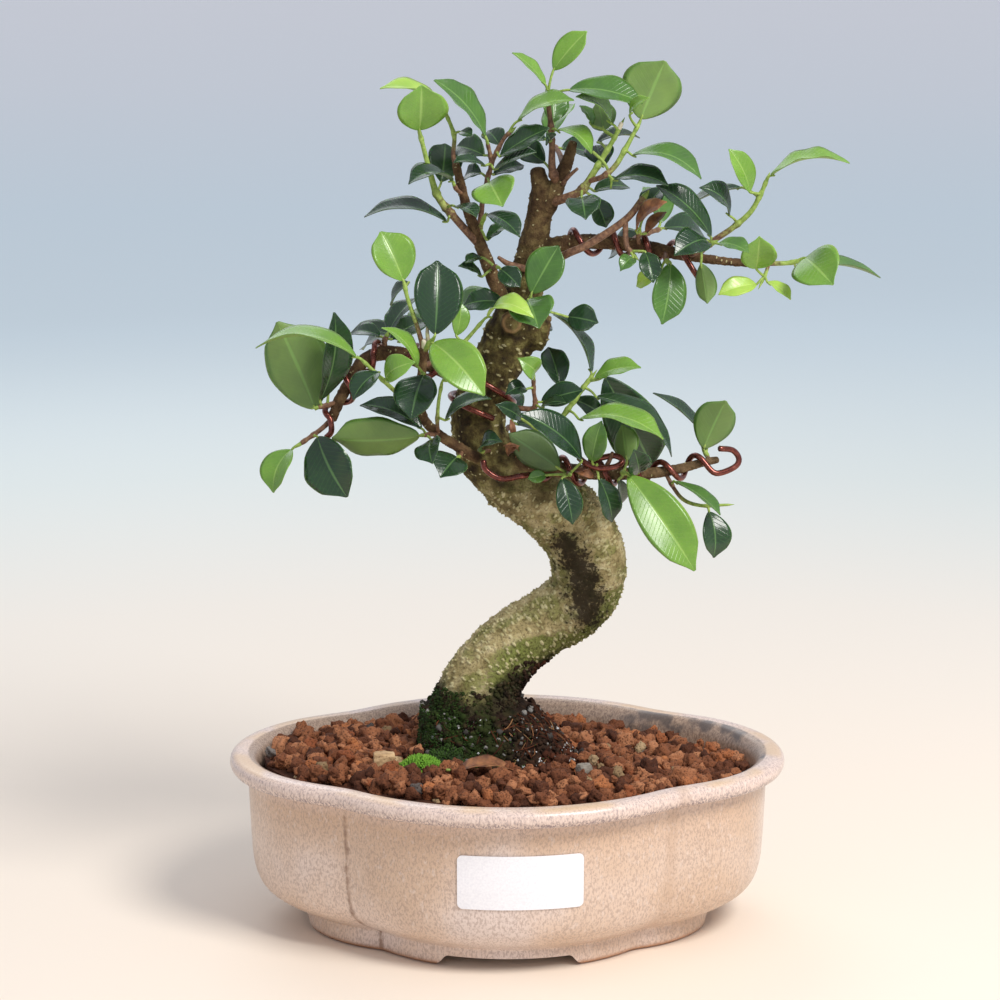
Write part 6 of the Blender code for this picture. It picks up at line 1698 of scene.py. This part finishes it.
# %% Rows of the sprays of the crown
SPRAYS |= {
    "spray_top_left_shoot": ("leaf_young", [
        [(-17, 257, -7, 1.1), (-17.8, 260.5, -7, 1), (-17.4, 266, -7, 0.95), (-18.3, 269.5, -7, 0.9),
         (-20, 273.5, -8, 0.7)]], [
        ("lime", (-20.4, 275, -9), (-42, 282, -14), 12, 76, 0.15),
        ("dark", (-15.6, 268, -9), (-11.5, 266.5, -13), 4.5, 40, 0.1)]),
    "spray_top_left_fork": ("leaf_young", [
        [(-9.4, 231, -5, 1.8), (-17, 239.5, -9, 1.7), (-22.8, 246.8, -11, 1.6), (-25.5, 255, -12, 1.2),
         (-28.6, 267, -13, 0.9)]], [
        ("young", (-28.8, 269, -13.5), (-28, 285, -13), 17, 15, 0.06),
        ("dark", (-21.8, 251.6, 1), (-20.5, 264.3, 9), 12, 15, 0.06),
        ("dark", (-19.8, 238.6, -12), (-47.5, 240, -10), 13, 72, 0.15),
        ("dark", (-17.2, 243.6, -16), (-10, 240, -24), 8, 60, 0.1)]),
    "spray_upper_left_side": ("leaf_dark", [
        [(-14.6, 247.5, -6, 1), (-16.6, 249, -10, 0.9), (-17.5, 250.6, -12, 0.8)]], [
        ("dark", (-18.5, 252, -13), (-35, 251.5, -19), 12, 70, 0.2)]),
    "spray_crown_left": ("leaf_dark", [
        [(-9.8, 233, -5, 1.4), (-8.8, 240, -2, 1.3), (-8, 247, -3, 1.1), (-6.5, 253, -4, 1),
         (-5.3, 258, -5, 1), (-6.6, 264.5, -6, 0.7)],
        [(-5.4, 257.4, -5, 1), (-3.5, 261.5, -6, 0.95), (-1, 266, -7, 0.9), (1, 268, -8, 0.8)]], [
        ("mid", (-7.2, 266.2, -7), (-24.3, 285, -10), 13, 60, 0.1),
        ("dark", (-7.6, 260.3, -3), (-16.7, 263.3, 6), 10, 30, 0.08),
        ("dark", (-7.2, 257, -8), (-17.8, 258, -14), 7, 66, 0.1),
        ("dark", (-8.6, 254.5, -1), (-14, 253.6, 6), 7, 45, 0.1),
        ("young", (-6, 251.6, -8), (-1.5, 243.5, -20), 15, 5, 0.1),
        ("young", (3.2, 271.4, -10), (22, 278.3, -14), 12, 68, 0.12),
        ("dark", (-2.6, 259.9, -9), (14, 269.3, -12), 9, 45, 0.05),
        ("dark", (-4.4, 255.7, -9), (9.6, 261.5, -16), 9, 68, 0.05),
        ("dark", (-4.6, 254, -1), (5.5, 257, 6), 7, 45, 0.08),
        ("dark", (-2.5, 263.5, -2), (-6.5, 268.3, 5), 8, 25, 0.08)]),
    "spray_upper_left_low": ("leaf_dark", [
        [(-5.6, 222.5, -5, 1.2), (-4.2, 223.6, -10, 1), (-3.4, 223.6, -12, 0.8)]], [
        ("dark", (-2.4, 223, -14), (4.3, 216.8, -20), 7.5, 15, 0.1),
        ("dark", (-8.5, 226.8, -11), (-14, 224.9, -15), 5, 50, 0.1),
        ("dark", (-8.4, 220.4, -10), (-16.3, 224, -14), 5.5, 60, 0.12)]),
    "spray_upper_left_inner": ("leaf_young", [
        [(-9.6, 235, -5, 1.1), (-8.2, 238.6, -9, 0.9), (-7.6, 240.2, -11, 0.8)]], [
        ("dark", (-6.6, 241, -13), (4.2, 233.4, -23), 9, 45, 0.12),
        ("dark", (-6.8, 232.5, -9), (1.2, 238.2, -6), 6, 50, 0.08)]),
    "spray_centre_stem": ("leaf_dark", [
        [(16.4, 250.5, -1, 2), (14.7, 256, -5, 1.8), (14.6, 263, -6, 1.4), (14.2, 270, -6, 1.2),
         (13.4, 276.5, -6, 1.1), (13, 280.5, -6, 0.9)]], [
        ("young", (15, 288, -7), (26, 300.7, -9), 9, 25, 0.06),
        ("young", (12.6, 283, -8), (1.7, 293.3, -11), 7, 62, 0.06),
        ("mid", (20, 281.6, -10), (44.6, 277, -17), 12, 50, 0.1),
        ("mid", (14.8, 271, 2), (15, 282, 8), 10, 20, 0.05),
        ("young", (16, 268.6, -9), (27.7, 260.7, -15), 10, 60, 0.2),
        ("dark", (13.2, 265.6, -9), (11.5, 269.4, -14), 5, 30, 0.1),
        ("dark", (12.8, 257.5, 2), (5, 262.5, 8), 8.5, 20, 0.08)]),
    "spray_apex_right": ("leaf_young", [
        [(13.5, 244.6, -1, 2.3), (19.5, 246.5, -6, 2), (24.5, 249, -8, 1.8), (28.5, 255, -9, 1.4),
         (31.5, 260, -9, 1.2), (34.5, 265, -9, 1), (36.8, 269.5, -9, 0.8)]], [
        ("young", (34, 270.7, -11), (22.8, 278.9, -16), 12, 66, 0.2),
        ("mid", (31.6, 268.4, -7), (29.5, 278.5, 1), 9.5, 165, 0.05),
        ("mid", (27.8, 270, -5), (23.5, 276.6, -3), 6, 60, 0.1),
        ("dark", (29.5, 264.6, -2), (43.5, 266, 4), 9, 72, 0.12),
        ("dark", (31.5, 256.6, -3), (29, 263.6, 6), 10, 10, 0.06),
        ("dark", (24.4, 246.6, -13), (25.8, 239.2, -25), 11.5, 5, 0.1),
        ("dark", (28.6, 246.4, -6), (32.6, 236.5, -6), 8, 20, 0.08),
        ("dark", (28.5, 248.6, -4), (40.3, 249.6, 4), 8, 55, 0.1)]),
    "spray_apex_outer": ("leaf_young", [
        [(26.5, 251.8, -8.5, 1.3), (31.5, 253.5, -13, 1.2), (35.5, 257, -13, 1.2), (39, 263, -13, 1.1),
         (43, 270.5, -13, 0.8)]], [
        ("mid", (43.6, 272, -13.5), (51.5, 291.2, -15), 20, 168, 0.05),
        ("young", (40.5, 275.6, -16), (47.5, 284.6, -20), 4.5, 50, 0.15),
        ("mid", (40.8, 260.4, -15), (64, 252.3, -22), 12, 62, 0.18),
        ("dark", (34.8, 252.3, -15), (53.2, 250.3, -21), 10, 55, 0.15)]),
}
print("sprays so far", len(SPRAYS))

# %% Rows of the sprays behind
SPRAYS |= {
    "spray_back_left": ("leaf_dark", [
        [(-28, 192.3, 0, 1.3), (-31, 197, 12, 1.1), (-33, 200, 24, 0.9)]], [
        ("dark", (-34, 201, 26), (-48, 196, 44), 13, 60, 0.12),
        ("mid", (-31.6, 201.6, 26), (-22, 209, 42), 12, 55, 0.1),
        ("dark", (-35, 198.6, 22), (-53, 201, 22), 12, 65, 0.15)]),
    "spray_back_low": ("leaf_dark", [
        [(-7, 162, 3, 1.6), (-3, 167, 20, 1.3), (2, 171, 34, 1)]], [
        ("dark", (3, 171, 36), (20, 166, 52), 13, 50, 0.1),
        ("dark", (1.6, 172.6, 36), (-4, 183, 54), 13, 40, 0.1),
        ("mid", (0, 168, 30), (-17, 161, 42), 12, 45, 0.12)]),
    "spray_back_middle": ("leaf_dark", [
        [(1, 200, 3, 1.8), (0, 206, 18, 1.5), (-2, 211, 30, 1)]], [
        ("mid", (-3.4, 212, 32), (-19, 208, 46), 13, 55, 0.12),
        ("dark", (-1, 213, 32), (9, 221, 48), 13, 45, 0.1),
        ("dark", (0.6, 209.6, 28), (15, 203, 40), 12, 50, 0.1)]),
    "spray_back_right": ("leaf_dark", [
        [(40, 231.2, -4, 1.5), (44, 234, 12, 1.3), (50, 236, 24, 1)]], [
        ("dark", (51.6, 236.4, 26), (66, 232, 40), 13, 60, 0.12),
        ("mid", (50.4, 238, 25), (46, 250, 38), 12, 45, 0.1),
        ("dark", (45, 232.8, 18), (34, 227, 32), 12, 55, 0.1)]),
    "spray_back_top": ("leaf_dark", [
        [(18.6, 256, 0, 1.5), (17, 261, 14, 1.2), (14, 265, 26, 0.9)]], [
        ("dark", (12.6, 265.6, 28), (-2, 262, 42), 12, 55, 0.1),
        ("mid", (14.2, 266.6, 27), (21, 277, 40), 12, 50, 0.1),
        ("dark", (17.6, 262.6, 20), (31, 258, 32), 12, 60, 0.1)]),
}
print(len(SPRAYS), "sprays")

# %% Grow the sprays
leaf_count, worst = 0, 0.0
for node, (slot_name, stems, leaves) in SPRAYS.items():
    corners = model_corners(node)
    path = [point for rows in stems for point in drawn_path(rows, 1.2)[:-1]]
    skin, roots = Skin(), []
    for look, base, tip, width, roll, arch in leaves:
        root, base, tip, off = swung(corners, path, seen(*base), seen(*tip))
        worst = max(worst, off)
        frame_of_leaf = leaf_frame(base, tip, roll)
        blade(skin, base, tip, frame_of_leaf, width, arch, look)
        stalk(skin, root, base, frame_of_leaf, YOUTH[look])
        roots.append(root)
        leaf_count += 1
    for rows in stems:
        stem(skin, rows, roots, float(slot_name != "leaf_young"))
    piece(node.replace("spray", "leaves"), skin.mesh(node), [leafy.material, twig.material], slot_name, node)
print(leaf_count, "leaves; the furthest tip is", round(worst, 3), "mm from the model's")

# %% [markdown]
# ## Scraps that a real tree carries
# A few small things say that this tree has been pruned and watered: two cut stubs with cream wood, a
# pinkish bract, dry scraps of leaf caught under the wire, and a fallen leaf on the soil, curled as it
# dried. They are the same tubes and blades as before, smaller and with other colours.

# %% Stubs and scraps
STUBS = (
    ([(-27.3, 196.8, -25, 1.2), (-27.4, 199.2, -25.4, 1.15)], {"cream": 0.9}),
    ([(-26.3, 198.6, -26, 0.75), (-26.6, 202, -26.4, 0.6), (-26.4, 205.2, -26.6, 0.4)],
     {"green": 0.4, "cream": 0.35}),
    ([(36.6, 269, -9, 0.8), (37.4, 270.9, -9.3, 0.7)], {"cream": 0.85}),
    ([(28, 261.5, -9, 0.5), (32, 257.5, -10, 0.5), (34, 252.5, -10, 0.45), (34, 249.5, -10, 0.3)],
     {"green": 0.9}),
    ([(18, 251, -3, 0.8), (20.5, 253.8, -5, 0.65), (23, 256, -6, 0.5)], {"green": 0.1}),
    ([(9, 216, -6, 0.7), (12.6, 217.2, -8, 0.9), (16, 219, -9, 0.3)], {"pink": 0.9}),
    ([(6, 223, -4, 1.2), (0.4, 224.6, -6, 1.0), (-3.0, 226.8, -7, 0.6)], {"green": 0.0}),
    ([(33.4, 157, -21, 0.8), (34.6, 159.4, -22, 0.7), (35.2, 161.4, -22, 0.55)], {"green": 0.0}),
)
SCRAPS = (
    ((0.2, 160.2, -14), (5.0, 164.4, -17), 3.6, 30, 0.35),
    ((3.0, 159.8, -15), (-1.4, 163.6, -18), 3.0, 70, 0.4),
    ((22.4, 155.0, -19), (29.6, 152.4, -21), 3.4, 20, 0.3),
    ((24.6, 152.2, -19), (29.4, 156.0, -21.5), 3.0, 60, 0.35),
    ((1.0, 172.6, -12), (1.8, 166.0, -13), 2.2, 15, 0.2),
)
stubs, scraps = Skin(), Skin()
for rows, values in STUBS:
    stubs.stack(tube_rings(drawn_path(rows, 0.6), 10), shade=0.5, **values)
piece("cut_stubs", stubs.mesh("cut_stubs"), [twig.material], "twig_bark")
for base, tip, width, roll, arch in SCRAPS:
    base, tip = seen(*base), seen(*tip)
    blade(scraps, base, tip, leaf_frame(base, tip, roll), width, arch, "dry")
piece("dry_scraps", scraps.mesh("dry_scraps"), [leafy.material], "dry_leaf")
print("stubs", len(STUBS), "and scraps", len(SCRAPS))

# %% The fallen leaf
FALLEN_ROLL, FALLEN_WIDTH, FALLEN_ARCH, FALLEN_LIFT = 62.0, 8.5, 0.14, 3.2
low, high = ((np.array(corner) - UNDER_POT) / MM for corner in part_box("fallen_leaf"))
across_middle = (low[1] + high[1]) / 2
fallen_z = float(soil_height((low[0] + high[0]) / 2, across_middle)) + FALLEN_LIFT
base = Vector((low[0] + 1.5, across_middle - 1.0, fallen_z))
tip = Vector((high[0] + 1.0, across_middle, fallen_z))
lie = leaf_frame(base, tip, FALLEN_ROLL)
lying = Skin()
blade(lying, base, tip, lie, FALLEN_WIDTH, FALLEN_ARCH, "dry")
stalk(lying, base - Vector((3.0, 0.4, -0.6)), base, lie, 0.0)
piece("curled_leaf", lying.mesh("curled_leaf"), [leafy.material, twig.material], "dry_leaf", "fallen_leaf")
print("the fallen leaf is", round((tip - base).length, 1), "mm long")

# %% [markdown]
